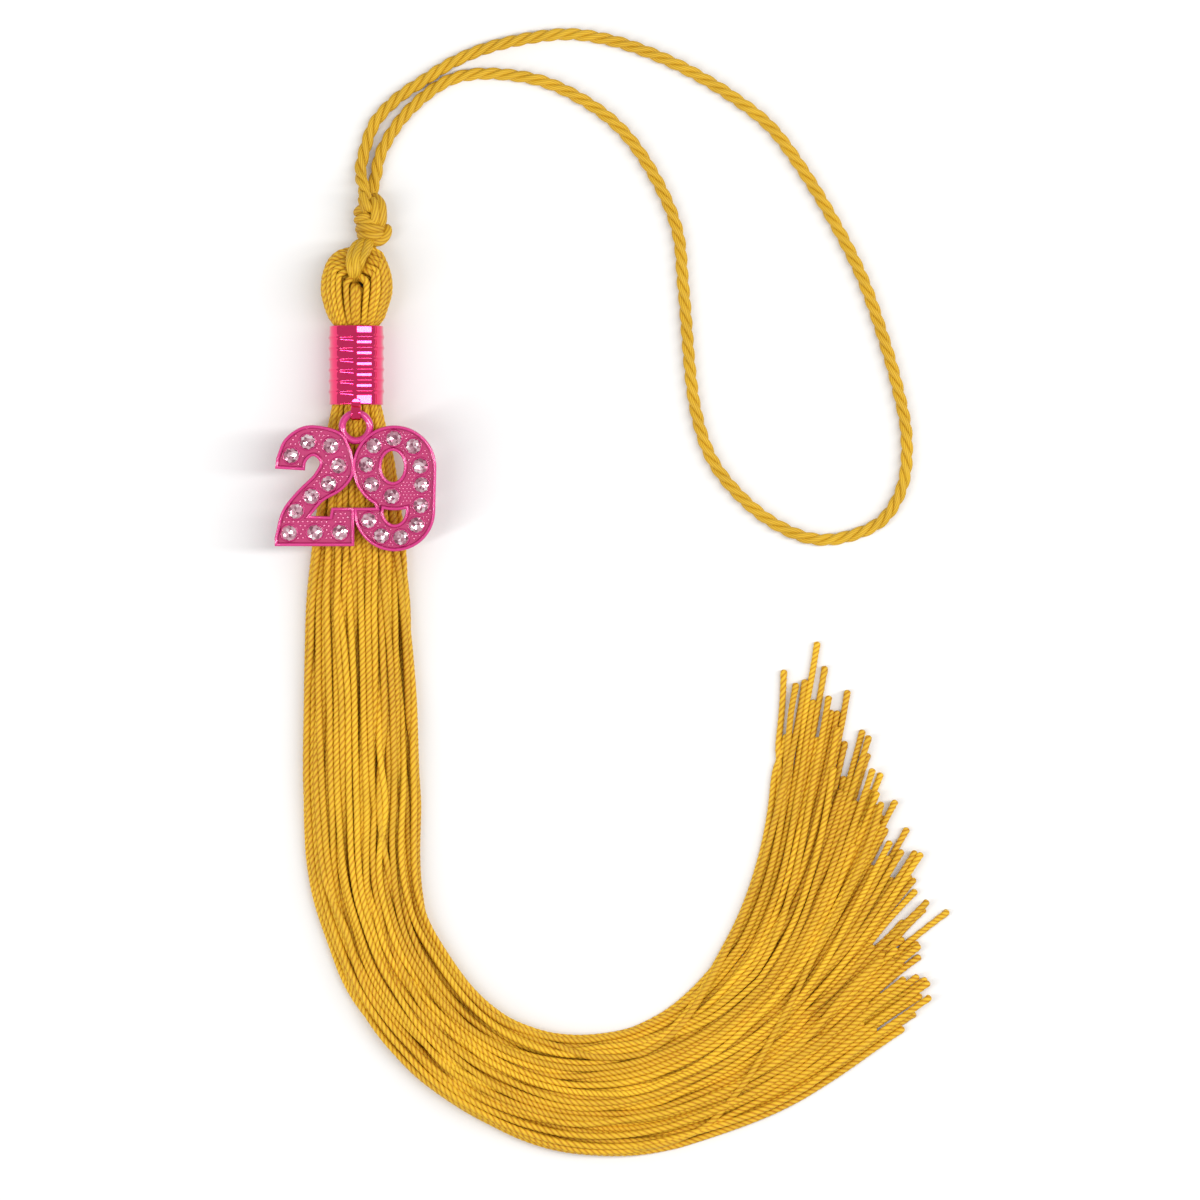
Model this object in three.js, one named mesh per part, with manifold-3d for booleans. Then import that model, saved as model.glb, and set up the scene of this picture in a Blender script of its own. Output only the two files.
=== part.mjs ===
// A graduation tassel with a year charm, lying flat on a surface. Millimetres, +Z up.
// Plan places are measured from the datum, which lies level with the band's lower end and close to its
// middle: x to the right, y towards the knot, z up from the surface. The finished group is moved so that
// its origin is the middle of its own footprint, the hanging cord left out.
import * as THREE from "three";
import { mergeVertices } from "three/addons/utils/BufferGeometryUtils.js";
import Module from "manifold-3d";

const wasm = await Module();
wasm.setup();

// Driving dimensions.
const GAP = 0.3; // between neighbouring pieces
const CORD_DIAMETER = 2.2;
const CORD_SIDES = 8;
const CORD_STEPS = 72;
const BAND = { x: -0.2, length: 13.8, collarRadius: 4.71, wall: 0.41, sides: 32 };
const RIB = { count: 6, first: 2.35, pitch: 1.89, halfWidth: 0.62, crest: 0.21, height: 0.17 };
const BAND_AXIS_HEIGHT = BAND.collarRadius + RIB.height;
const NECK_RADIUS = BAND.collarRadius - BAND.wall - GAP;
const CHARM = { thickness: 2.2, recess: 0.7, rim: 0.48, tilt: THREE.MathUtils.degToRad(4) };
const RING = { radius: 2.43, wire: 0.57, x: -0.1, sides: 8, steps: 32 };
const HINGE = { y: -1.5, z: 10.15 }; // the axis through the ring's top
const HOOK = { width: 1.68, inner: 1.0, strip: 0.3, lap: 1.1, steps: 20 };
const STONE = { radius: 1.35, back: 1.15, table: 0.75, girdle: 0.3, height: 0.9, sides: 8 };

const finish = (color, roughness, metalness) => () =>
  new THREE.MeshStandardMaterial({ color, roughness, metalness });
const yarnMaterial = finish(0xe8b430, 0.72, 0);
const cordMaterial = finish(0xe9b832, 0.6, 0);
const platedMaterial = finish(0xe43078, 0.18, 0.85);
const enamelMaterial = finish(0xe0308c, 0.35, 0.25);
const stoneMaterial = finish(0xcda0ac, 0.05, 0.3);

const vector = (x, y, z) => new THREE.Vector3(x, y, z);

function named(name, geometry, material) {
  const mesh = new THREE.Mesh(geometry, material);
  mesh.name = name;
  return mesh;
}

function toSolid(geometry) {
  const bare = geometry.clone();
  bare.deleteAttribute("normal");
  bare.deleteAttribute("uv");
  const merged = mergeVertices(bare, 1e-4);
  return new wasm.Manifold(
    new wasm.Mesh({
      numProp: 3,
      vertProperties: new Float32Array(merged.attributes.position.array),
      triVerts: new Uint32Array(merged.index.array),
    }),
  );
}

function toGeometry(solid) {
  const mesh = solid.getMesh();
  const geometry = new THREE.BufferGeometry();
  geometry.setAttribute("position", new THREE.BufferAttribute(new Float32Array(mesh.vertProperties), 3));
  geometry.setIndex(new THREE.BufferAttribute(new Uint32Array(mesh.triVerts), 1));
  return geometry;
}

const join = (solids) => solids.reduce((whole, next) => whole.add(next));

// A round bar along a smooth curve through the points.
function tube(points, radius, steps) {
  const corners = Array.from({ length: CORD_SIDES }, (_, i) => {
    const turn = (2 * Math.PI * i) / CORD_SIDES;
    return new THREE.Vector2(radius * Math.cos(turn), radius * Math.sin(turn));
  });
  const extrudePath = new THREE.CatmullRomCurve3(points, false, "centripetal");
  return new THREE.ExtrudeGeometry(new THREE.Shape(corners), { steps, bevelEnabled: false, extrudePath });
}

// A closed skin over rings of equally many points, with a flat cap at each end.
function skin(rings) {
  const around = rings[0].length;
  const middle = (ring) => ring.reduce((sum, p) => sum.add(p), vector(0, 0, 0)).divideScalar(around);
  const points = [...rings.flat(), middle(rings[0]), middle(rings.at(-1))];
  const last = (rings.length - 1) * around;
  const index = [];
  for (let i = 0; i < around; i++) {
    const next = (i + 1) % around;
    for (let start = 0; start < last; start += around) {
      index.push(start + i, start + next, start + around + i);
      index.push(start + next, start + around + next, start + around + i);
    }
    index.push(points.length - 2, next, i);
    index.push(points.length - 1, last + i, last + next);
  }
  const geometry = new THREE.BufferGeometry().setFromPoints(points);
  return geometry.setIndex(index);
}

// The yarn's cross-section on an upright plane from its outer edge to its inner edge: a round-topped heap
// of the stated top height about a centre height, cut flat where it meets the surface.
const BUNDLE_CORNERS = 22;
function heap({ outer, inner, top, centre }, corners = BUNDLE_CORNERS) {
  const [ox, oy] = outer;
  const [ix, iy] = inner;
  return Array.from({ length: corners }, (_, i) => {
    const turn = (2 * Math.PI * i) / corners;
    const across = (1 + Math.cos(turn)) / 2;
    const height = Math.max(0, centre + (top - centre) * Math.sin(turn));
    return vector(ox + (ix - ox) * across, oy + (iy - oy) * across, height);
  });
}

// The yarn bundle. Head and neck: level sections, from the fold down through the band.
const headSections = [
  // outer x, inner x, y, top, centre height
  [-0.8, 2.8, 27.5, 6.6, 5.0],
  [-2.3, 3.9, 27.0, 7.9, 5.0],
  [-3.8, 4.8, 26.0, 9.2, 5.1],
  [-5.1, 5.5, 24.8, 10.2, 5.2],
  [-6.0, 6.0, 23.4, 10.9, 5.3],
  [-6.5, 6.3, 21.6, 11.3, 5.4],
  [-6.5, 6.25, 19.6, 11.3, 5.4],
  [-5.95, 5.6, 17.2, 10.8, 5.3],
  [-5.3, 5.0, 15.6, 10.0, 5.1],
  [-4.8, 4.6, 14.5, 9.4, 4.9],
].map(([ox, ix, y, top, centre]) => ({ outer: [ox, y], inner: [ix, y], top, centre }));

const neckSections = [BAND.length + GAP, -GAP].map((y) => ({
  outer: [BAND.x - NECK_RADIUS, y],
  inner: [BAND.x + NECK_RADIUS, y],
  top: BAND_AXIS_HEIGHT + NECK_RADIUS,
  centre: BAND_AXIS_HEIGHT,
}));

// The skirt, from the band round the bend to the roots of the cut ends. Its outer edge is the one on the
// outside of the bend.
const skirtSections = [
  // outer x, outer y, inner x, inner y, top, centre height
  [-4.6, -0.8, 4.4, -0.8, 8.6, 4.4],
  [-5.2, -3.6, 4.9, -3.6, 8.4, 3.8],
  [-5.9, -8.4, 6.3, -8.4, 8.2, 3.1],
  [-6.5, -13.1, 6.9, -13.1, 7.9, 2.8],
  [-8.2, -25.7, 8.6, -25.7, 7.0, 2.1],
  [-9.1, -34.1, 9.3, -34.1, 6.7, 1.8],
  [-9.4, -42.8, 9.9, -42.8, 6.5, 1.7],
  [-9.7, -51.6, 10.6, -51.6, 6.3, 1.6],
  [-10.0, -60.5, 10.9, -60.5, 6.2, 1.6],
  [-10.0, -67.1, 11.2, -66.6, 6.1, 1.6],
  [-9.6, -74.0, 11.1, -71.5, 6.0, 1.6],
  [-9.0, -80.5, 10.9, -76.5, 6.0, 1.6],
  [-7.7, -87.2, 11.0, -81.5, 6.0, 1.6],
  [-5.4, -94.1, 11.4, -86.2, 6.0, 1.6],
  [-3.0, -100.5, 12.8, -90.4, 6.0, 1.6],
  [-0.3, -105.5, 14.4, -93.4, 5.9, 1.6],
  [3.9, -111.3, 16.7, -97.2, 5.9, 1.6],
  [8.5, -116.3, 19.4, -101.0, 5.9, 1.6],
  [13.0, -120.3, 22.6, -104.3, 5.9, 1.6],
  [17.7, -123.6, 26.1, -106.9, 5.9, 1.6],
  [22.8, -126.4, 30.2, -108.8, 5.8, 1.6],
  [28.2, -128.8, 34.3, -109.9, 5.7, 1.5],
  [34.8, -130.8, 37.9, -110.2, 5.7, 1.5],
  [41.5, -131.7, 41.3, -110.1, 5.6, 1.5],
  [49.5, -131.6, 44.7, -109.6, 5.5, 1.4],
  [57.1, -130.3, 48.3, -108.6, 5.3, 1.4],
  [64.2, -128.2, 51.7, -107.2, 5.0, 1.3],
  [71.4, -125.2, 55.3, -105.4, 4.7, 1.2],
  [77.2, -122.3, 58.2, -102.9, 4.3, 1.15],
  [82.0, -119.3, 61.4, -98.8, 4.1, 1.0],
  [84.8, -117.4, 64.8, -93.6, 3.9, 1.0],
  [86.5, -116.2, 67.8, -86.4, 3.7, 0.9],
  [87.6, -115.4, 70.2, -78.6, 3.4, 0.8],
  [88.4, -114.6, 72.2, -69.8, 3.1, 0.7],
  [89.1, -113.7, 73.7, -59.4, 2.9, 0.6],
].map(([ox, oy, ix, iy, top, centre]) => ({ outer: [ox, oy], inner: [ix, iy], top, centre }));

// The cut ends as one comb: each finger is a tapering bundle of strands, from the skirt's end to its tips.
const fingerTips = [
  // x, y, width of the bundle at its tip
  [75.5, -47.0, 2.4],
  [80.2, -42.2, 2.2],
  [82.9, -53.4, 2.2],
  [86.0, -50.6, 2.0],
  [89.4, -58.2, 2.4],
  [90.7, -65.2, 2.4],
  [93.0, -69.4, 2.2],
  [95.8, -74.6, 2.2],
  [98.3, -79.2, 2.6],
  [99.2, -87.0, 2.4],
  [102.5, -88.6, 1.8],
  [98.2, -95.2, 2.8],
  [99.8, -101.9, 2.6],
  [96.6, -107.4, 2.6],
];
const FINGER = { rootWidth: 4.3, rootHeight: 2.7, tipHeight: 1.9, sunk: 2.5, corners: 8 };
const FINGER_ROOTS = { first: 0.09, last: 0.97 }; // shares of the way across the skirt's end
const PARTING = { along: 0.62, width: 4.4, height: 2.4 }; // where a finger leaves its neighbours

function finger([x, y, tipWidth], place) {
  const end = skirtSections.at(-1);
  const root = new THREE.Vector2(...end.inner).lerp(new THREE.Vector2(...end.outer), place);
  const tip = new THREE.Vector2(x, y);
  const way = tip.clone().sub(root).normalize();
  root.addScaledVector(way, -FINGER.sunk);
  const across = new THREE.Vector2(-way.y, way.x);
  const section = (at, width, top) => {
    const outer = at.clone().addScaledVector(across, -width / 2);
    const inner = at.clone().addScaledVector(across, width / 2);
    return heap({ outer: outer.toArray(), inner: inner.toArray(), top, centre: top / 3 }, FINGER.corners);
  };
  const sections = [
    section(root, FINGER.rootWidth, FINGER.rootHeight),
    section(root.clone().lerp(tip, PARTING.along), PARTING.width, PARTING.height),
    section(tip, tipWidth, FINGER.tipHeight),
  ];
  return toSolid(skin(sections));
}

// The sling: the bight of the cord below the knot. It comes down over the front of the head, passes
// through the fold of the yarn, and goes up behind it.
const slingPoints = [
  // x, y, z
  [1.5, 27.3, 5.0],
  [0.9, 26.6, 7.4],
  [0.2, 25.2, 9.3],
  [-0.4, 23.4, 10.0],
  [-0.6, 21.8, 9.2],
  [-0.6, 20.9, 7.4],
  [-0.6, 20.7, 5.2],
  [-0.6, 21.2, 3.4],
  [-0.2, 23.0, 2.1],
  [0.8, 25.2, 1.6],
  [1.9, 26.6, 1.8],
  [2.6, 27.3, 2.3],
].map((point) => vector(...point));
const SLING_STEPS = 22;
const slingGeometry = tube(slingPoints, CORD_DIAMETER / 2, SLING_STEPS);

// The room for it in the yarn is wider by a gap and a half, as its sides are flat, and goes on upwards.
const roomPoints = [vector(1.8, 29, 4.6), ...slingPoints, vector(3, 29, 2.4)];
const ROOM_STEPS = 28;
const slingRoom = toSolid(tube(roomPoints, CORD_DIAMETER / 2 + 1.5 * GAP, ROOM_STEPS));

const bundleSections = [...headSections, ...neckSections, ...skirtSections];
const skirtAndHead = toSolid(skin(bundleSections.map((section) => heap(section))));
const fingers = fingerTips.map((tip, i) => {
  const share = i / (fingerTips.length - 1);
  return finger(tip, THREE.MathUtils.lerp(FINGER_ROOTS.first, FINGER_ROOTS.last, share));
});
const yarnGeometry = toGeometry(join([skirtAndHead, ...fingers]).subtract(slingRoom));

// The knot: an overhand knot of the doubled cord, three turns of it round a filled middle.
const KNOT_CORE = { middle: [2.5, 31.9, 3.1], radii: [2.5, 3.6, 2.6], sides: 16, rows: 10 };
const KNOT_TURN = { sides: 8, steps: 16 };
const knotTurns = [
  // middle x, y, z, radius across, radius up, thickness, lean to the right, lean forward (degrees)
  [2.3, 33.6, 3.1, 1.6, 1.85, 1.2, 12, 8],
  [2.1, 30.7, 3.1, 1.4, 1.85, 1.25, 4, -6],
  [3.7, 29.6, 3.1, 1.45, 1.4, 1.1, 30, 0],
];

function knotTurn([x, y, z, across, up, thickness, leanRight, leanForward]) {
  const geometry = new THREE.TorusGeometry(across, thickness, KNOT_TURN.sides, KNOT_TURN.steps);
  geometry.rotateX(Math.PI / 2);
  geometry.scale(1, 1, (up + thickness) / (across + thickness));
  geometry.rotateZ(THREE.MathUtils.degToRad(leanRight));
  geometry.rotateX(THREE.MathUtils.degToRad(leanForward));
  geometry.translate(x, y, z);
  return toSolid(geometry);
}

const knotCore = new THREE.SphereGeometry(1, KNOT_CORE.sides, KNOT_CORE.rows);
knotCore.scale(...KNOT_CORE.radii).translate(...KNOT_CORE.middle);
const knotGeometry = toGeometry(join([toSolid(knotCore), ...knotTurns.map(knotTurn)]));

// The hanging cord: one loop out of the knot, side by side with itself for a stretch, round, and back.
const cordPoints = [
  // x, y, z
  [1.5, 36.0, 4.4],
  [0.9, 38.4, 3.4],
  [0.4, 41.0, 1.7],
  [1.2, 45.0, 1.15],
  [3.0, 49.7, 1.15],
  [6.7, 53.7, 1.15],
  [11.3, 56.9, 1.15],
  [17.0, 60.4, 1.15],
  [24.0, 63.1, 1.15],
  [36.2, 65.1, 1.15],
  [43.5, 64.2, 1.15],
  [50.1, 62.2, 1.15],
  [57.2, 59.1, 1.15],
  [65.5, 54.2, 1.15],
  [72.2, 48.9, 1.15],
  [77.7, 41.6, 1.15],
  [83.3, 32.4, 1.15],
  [88.2, 22.7, 1.15],
  [91.9, 12.3, 1.15],
  [94.6, 2.8, 1.15],
  [96.1, -5.5, 1.15],
  [95.4, -14.0, 1.15],
  [91.9, -20.0, 1.15],
  [85.9, -22.9, 1.15],
  [80.0, -23.4, 1.15],
  [73.2, -20.8, 1.15],
  [66.8, -15.7, 1.15],
  [62.0, -9.4, 1.15],
  [59.1, -0.6, 1.15],
  [57.0, 20.5, 1.15],
  [55.9, 30.7, 1.15],
  [52.2, 39.7, 1.15],
  [46.2, 48.3, 1.15],
  [39.0, 53.8, 1.15],
  [30.1, 57.4, 1.15],
  [17.2, 57.5, 1.15],
  [8.7, 51.5, 1.15],
  [4.0, 44.3, 1.15],
  [3.1, 40.4, 1.25],
  [2.1, 36.0, 1.6],
].map((point) => vector(...point));

// The band: a ribbed ferrule round the neck, its axis along y.
const bandOuter = [new THREE.Vector2(BAND.collarRadius, 0)];
for (let i = 0; i < RIB.count; i++) {
  const at = RIB.first + i * RIB.pitch;
  bandOuter.push(new THREE.Vector2(BAND.collarRadius, at - RIB.halfWidth));
  bandOuter.push(new THREE.Vector2(BAND.collarRadius + RIB.height, at - RIB.crest));
  bandOuter.push(new THREE.Vector2(BAND.collarRadius + RIB.height, at + RIB.crest));
  bandOuter.push(new THREE.Vector2(BAND.collarRadius, at + RIB.halfWidth));
}
bandOuter.push(new THREE.Vector2(BAND.collarRadius, BAND.length));
const bandInner = [BAND.length, 0].map((y) => new THREE.Vector2(BAND.collarRadius - BAND.wall, y));
const bandProfile = [...bandOuter, ...bandInner, bandOuter[0]];
const bandGeometry = new THREE.LatheGeometry(bandProfile, BAND.sides);
bandGeometry.translate(BAND.x, 0, BAND_AXIS_HEIGHT);

// The charm hook, in the plane of y and z about the hinge: a closed eye round the ring, with a lap that
// lies over the band's lower edge.
const hookOuter = HOOK.inner + HOOK.strip;
const lapUnder = BAND_AXIS_HEIGHT + BAND.collarRadius + GAP - HINGE.z;
const lapOver = lapUnder + HOOK.strip;
const lapEnd = HOOK.lap - HINGE.y;
const hookShape = new THREE.Shape();
hookShape.moveTo(hookOuter * Math.cos(Math.asin(lapUnder / hookOuter)), lapUnder);
hookShape.lineTo(lapEnd, lapUnder);
hookShape.lineTo(lapEnd, lapOver);
const hookFrom = Math.asin(lapOver / hookOuter);
const hookTo = 2 * Math.PI + Math.asin(lapUnder / hookOuter);
hookShape.absarc(0, 0, hookOuter, hookFrom, hookTo, false);
hookShape.holes.push(new THREE.Path().absarc(0, 0, HOOK.inner, 0, 2 * Math.PI, false));
const hookGeometry = new THREE.ExtrudeGeometry(hookShape, {
  depth: HOOK.width,
  bevelEnabled: false,
  curveSegments: HOOK.steps,
});
hookGeometry.translate(0, 0, -HOOK.width / 2);
const onItsSide = new THREE.Matrix4().makeBasis(vector(0, 1, 0), vector(0, 0, 1), vector(1, 0, 0));
hookGeometry.applyMatrix4(onItsSide).translate(RING.x, HINGE.y, HINGE.z);

// The charm, flat in its own plane: a plain two and nine of heavy strokes, joined side by side under a
// ring. Their outlines are in plan places; the nine's bowl and tail are arcs, with angles in degrees.
const NINE = {
  x: 6.6,
  bowl: { y: -10.95, radius: 7.3, end: 244 },
  tail: { y: -18.5, radius: 7.1, inner: 3.3 },
  counter: { left: 0.3, y: -10.8, across: 1.95, up: 2.7 },
  crescent: { y: -18.4, across: 1.95, up: 2.5, edge: 7.5, from: 285, to: 256 },
};
const FOOT_TOP = -17.95; // of the two, and of the nine's tail beside it
const OUTLINE_STEP = 0.8;
const LEAST_MITRE = 0.5; // a sharper corner's inset point stays this much closer

function twoShape() {
  const shape = new THREE.Shape();
  const through = (points) => shape.splineThru(points.map(([x, y]) => new THREE.Vector2(x, y)));
  shape.moveTo(-14.2, -11.2);
  shape.lineTo(-9.0, -11.5);
  through([[-8.7, -9.9], [-7.5, -9.0], [-6.4, -10.1], [-7.6, -12.4]]);
  through([[-10.5, -15.2], [-13.0, -18.5], [-14.3, -23.2]]);
  shape.lineTo(-14.3, -24.7);
  shape.lineTo(-0.4, -24.7);
  shape.lineTo(-0.4, FOOT_TOP);
  shape.lineTo(-4.4, FOOT_TOP);
  shape.lineTo(-4.7, -19.5);
  shape.lineTo(-8.0, -19.4);
  through([[-5.8, -16.9], [-2.6, -15.0], [-0.7, -12.7], [-0.4, -10.5], [-0.8, -8.0]]);
  through([[-2.4, -5.1], [-5.8, -3.8], [-9.3, -3.8], [-12.6, -6.1], [-14.0, -9.4]]);
  return shape.closePath();
}

function nineShape() {
  const { x, bowl, tail } = NINE;
  const shape = new THREE.Shape();
  shape.moveTo(x - tail.radius, FOOT_TOP);
  shape.lineTo(x - tail.radius, tail.y);
  shape.absarc(x, tail.y, tail.radius, Math.PI, 2 * Math.PI, false);
  shape.absarc(x, bowl.y, bowl.radius, 0, THREE.MathUtils.degToRad(bowl.end), false);
  shape.lineTo(x - tail.inner, FOOT_TOP);
  return shape.closePath();
}

function nineHoles() {
  const { x, bowl, counter, crescent } = NINE;
  const eye = new THREE.Shape();
  eye.absellipse(x - counter.left, counter.y, counter.across, counter.up, 0, 2 * Math.PI, false, 0);
  const slot = new THREE.Shape();
  slot.absellipse(x, crescent.y, crescent.across, crescent.up, Math.PI, 2 * Math.PI, false, 0);
  const [from, to] = [crescent.from, crescent.to].map(THREE.MathUtils.degToRad);
  slot.absarc(x, bowl.y, crescent.edge, from, to, true);
  return [eye, slot.closePath()];
}

// The shape's outline as points, moved inwards by a distance, or outwards by a negative one.
function inset(shape, distance) {
  const points = shape.curves.flatMap((curve) => {
    const steps = curve.isLineCurve ? 1 : Math.ceil(curve.getLength() / OUTLINE_STEP);
    return curve.getSpacedPoints(steps).slice(0, -1);
  });
  return points.map((point, i) => {
    const before = point.clone().sub(points.at(i - 1)).normalize();
    const after = points[(i + 1) % points.length].clone().sub(point).normalize();
    const inwards = new THREE.Vector2(-before.y - after.y, before.x + after.x).normalize();
    const mitre = Math.max(LEAST_MITRE, inwards.dot(new THREE.Vector2(-before.y, before.x)));
    return point.clone().addScaledVector(inwards, distance / mitre);
  });
}

function slab(outline, holes, bottom, top) {
  const shape = new THREE.Shape(outline);
  shape.holes = holes.map((hole) => new THREE.Path(hole));
  const geometry = new THREE.ExtrudeGeometry(shape, { depth: top - bottom, bevelEnabled: false });
  return toSolid(geometry.translate(0, 0, bottom));
}

const face = CHARM.thickness / 2;
const floor = face - CHARM.recess;
const cutTop = face + 1; // the cut that makes the recess stands clear of the face
const figures = [
  { outline: twoShape(), holes: [] },
  { outline: nineShape(), holes: nineHoles() },
];
const atInset = ({ outline, holes }, distance, bottom, top) =>
  slab(inset(outline, distance), holes.map((hole) => inset(hole, -distance)), bottom, top);
const plates = figures.map((figure) => atInset(figure, 0, -face, face));
const fields = figures.map((figure) => atInset(figure, CHARM.rim, floor, cutTop));
const ringGeometry = new THREE.TorusGeometry(RING.radius, RING.wire, RING.sides, RING.steps);
ringGeometry.translate(RING.x, HINGE.y - RING.radius, 0);
const recessed = fields.reduce((solid, field) => solid.subtract(field), join(plates));
const charmSolid = recessed.add(toSolid(ringGeometry));

const stonePlaces = [
  // x, y: the two first, then the nine
  [-11.4, -8.9],
  [-8.5, -6.5],
  [-4.5, -7.2],
  [-3.1, -10.7],
  [-4.9, -13.8],
  [-7.9, -16.0],
  [-10.6, -18.6],
  [-11.8, -22.4],
  [-7.3, -22.3],
  [-2.9, -22.3],
  [3.0, -7.2],
  [6.5, -5.9],
  [9.9, -7.3],
  [1.7, -10.5],
  [11.1, -10.7],
  [2.6, -13.95],
  [6.1, -16.0],
  [11.3, -14.0],
  [11.2, -17.6],
  [2.1, -20.2],
  [10.4, -21.0],
  [4.25, -22.9],
  [7.7, -23.2],
];
const stoneProfile = [
  [0, 0],
  [STONE.back, 0],
  [STONE.radius, STONE.girdle],
  [STONE.table, STONE.height],
  [0, STONE.height],
].map(([r, z]) => new THREE.Vector2(r, z));
const stoneGeometry = new THREE.LatheGeometry(stoneProfile, STONE.sides).rotateX(Math.PI / 2);

// The charm and its stones hang from the hinge, with the far end a little lower, on the skirt.
const charmPlan = new THREE.Group();
charmPlan.position.set(-RING.x, -HINGE.y, 0);
charmPlan.add(named("charm", toGeometry(charmSolid), enamelMaterial()));
stonePlaces.forEach(([x, y], i) => {
  const stone = named(`stone_${String(i + 1).padStart(2, "0")}`, stoneGeometry, stoneMaterial());
  stone.position.set(x, y, floor + GAP);
  charmPlan.add(stone);
});
const charm = new THREE.Group();
charm.position.set(RING.x, HINGE.y, HINGE.z);
charm.rotation.x = CHARM.tilt;
charm.add(charmPlan);

const body = new THREE.Group();
body.add(
  named("yarn_bundle", yarnGeometry, yarnMaterial()),
  named("knot", knotGeometry, cordMaterial()),
  named("cord_sling", slingGeometry, cordMaterial()),
  named("band", bandGeometry, platedMaterial()),
  named("charm_hook", hookGeometry, platedMaterial()),
  charm,
);
body.updateMatrixWorld(true);
const middle = new THREE.Box3().setFromObject(body).getCenter(vector(0, 0, 0));

const tassel = new THREE.Group();
tassel.position.set(-middle.x, -middle.y, 0);
tassel.add(body, named("cord_loop", tube(cordPoints, CORD_DIAMETER / 2, CORD_STEPS), cordMaterial()));

export default tassel;
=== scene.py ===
import math

import bmesh
import bpy
import numpy as np
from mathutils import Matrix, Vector
from mathutils.geometry import tessellate_polygon


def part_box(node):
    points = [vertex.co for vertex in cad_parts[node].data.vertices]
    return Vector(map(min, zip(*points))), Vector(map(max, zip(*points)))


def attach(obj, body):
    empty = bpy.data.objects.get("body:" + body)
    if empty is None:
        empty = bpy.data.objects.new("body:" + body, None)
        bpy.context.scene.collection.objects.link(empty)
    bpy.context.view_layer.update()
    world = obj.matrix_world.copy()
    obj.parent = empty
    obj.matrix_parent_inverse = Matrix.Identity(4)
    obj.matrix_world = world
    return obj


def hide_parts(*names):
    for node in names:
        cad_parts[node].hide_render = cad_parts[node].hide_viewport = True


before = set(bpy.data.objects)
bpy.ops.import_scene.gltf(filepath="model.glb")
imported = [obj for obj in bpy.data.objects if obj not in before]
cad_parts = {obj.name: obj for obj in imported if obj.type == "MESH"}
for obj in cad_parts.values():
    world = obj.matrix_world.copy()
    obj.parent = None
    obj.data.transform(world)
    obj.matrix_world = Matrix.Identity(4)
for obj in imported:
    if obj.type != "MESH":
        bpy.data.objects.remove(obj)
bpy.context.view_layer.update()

# The surface, the light and the camera. The tassel lies on a plain pale table, photographed from straight
# above through a long lens. One strip light hangs over its right side, a narrower one over the front left,
# and pale walls fill the rest.
MILLI = 0.001
BAND_OFF_DATUM = 0.2  # the band's axis lies this far left of the datum, in millimetres
band_low, band_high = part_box("band")
datum = np.array([(band_low.x + band_high.x) / 2 + BAND_OFF_DATUM * MILLI, band_low.y, 0.0])


def plan(points):
    """Places given in millimetres from the datum, in the frame's metres."""
    return datum + MILLI * np.array(points, float)


def put(name, data):
    """A new object in the scene."""
    made = bpy.data.objects.new(name, data)
    bpy.context.scene.collection.objects.link(made)
    return made


FLOOR_HALF = 2.0
PICTURE_CENTRE = (42.37, -34.06, 3.0)
PICTURE_WIDTH = 210.0
CAMERA_HEIGHT = 1.3

floor_mesh = bpy.data.meshes.new("table_top")
floor_corners = [(x * FLOOR_HALF, y * FLOOR_HALF, 0) for x, y in ((-1, -1), (1, -1), (1, 1), (-1, 1))]
floor_mesh.from_pydata(floor_corners, [], [(0, 1, 2, 3)])
floor = put("table_top", floor_mesh)
floor_paint = bpy.data.materials.new("pale_table")
floor_paint.use_nodes = True
matt_paint = floor_paint.node_tree.nodes["Principled BSDF"].inputs
matt_paint["Base Color"].default_value = (0.80, 0.80, 0.80, 1)
matt_paint["Roughness"].default_value = 0.9
floor_mesh.materials.append(floor_paint)

camera_data = bpy.data.cameras.new("camera")
camera = put("camera", camera_data)
camera.location = plan(PICTURE_CENTRE)
camera.location.z += CAMERA_HEIGHT
camera_data.lens = camera_data.sensor_width * CAMERA_HEIGHT / (PICTURE_WIDTH * MILLI)
camera_data.clip_end = 10.0
bpy.context.scene.camera = camera

world = bpy.data.worlds.new("studio")
world.use_nodes = True
walls = world.node_tree.nodes["Background"].inputs
walls["Color"].default_value = (1, 1, 1, 1)
walls["Strength"].default_value = 0.58
bpy.context.scene.world = world
bpy.context.scene.view_settings.view_transform = "Standard"


def soft_box(name, centre, lean, toward, distance, size, power):
    """An area lamp that faces a place from a distance in metres. It leans from upright by an angle, towards a
    compass direction, both in degrees."""
    lamp = bpy.data.lights.new(name, "AREA")
    lamp.shape = "RECTANGLE"
    lamp.size, lamp.size_y = size
    lamp.energy = power
    holder = put(name, lamp)
    lean, toward = math.radians(lean), math.radians(toward)
    way = Vector((math.sin(lean) * math.cos(toward), math.sin(lean) * math.sin(toward), math.cos(lean)))
    holder.location = Vector(plan(centre)) + distance * way
    holder.rotation_euler = way.to_track_quat("Z", "Y").to_euler()


soft_box("long_strip_light", (0, 32, 5), lean=37, toward=0, distance=0.8, size=(0.10, 1.0), power=4.7)
soft_box("narrow_strip_light", (0, 6, 5), lean=44.5, toward=-155, distance=0.8, size=(0.06, 0.98), power=3.3)

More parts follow.
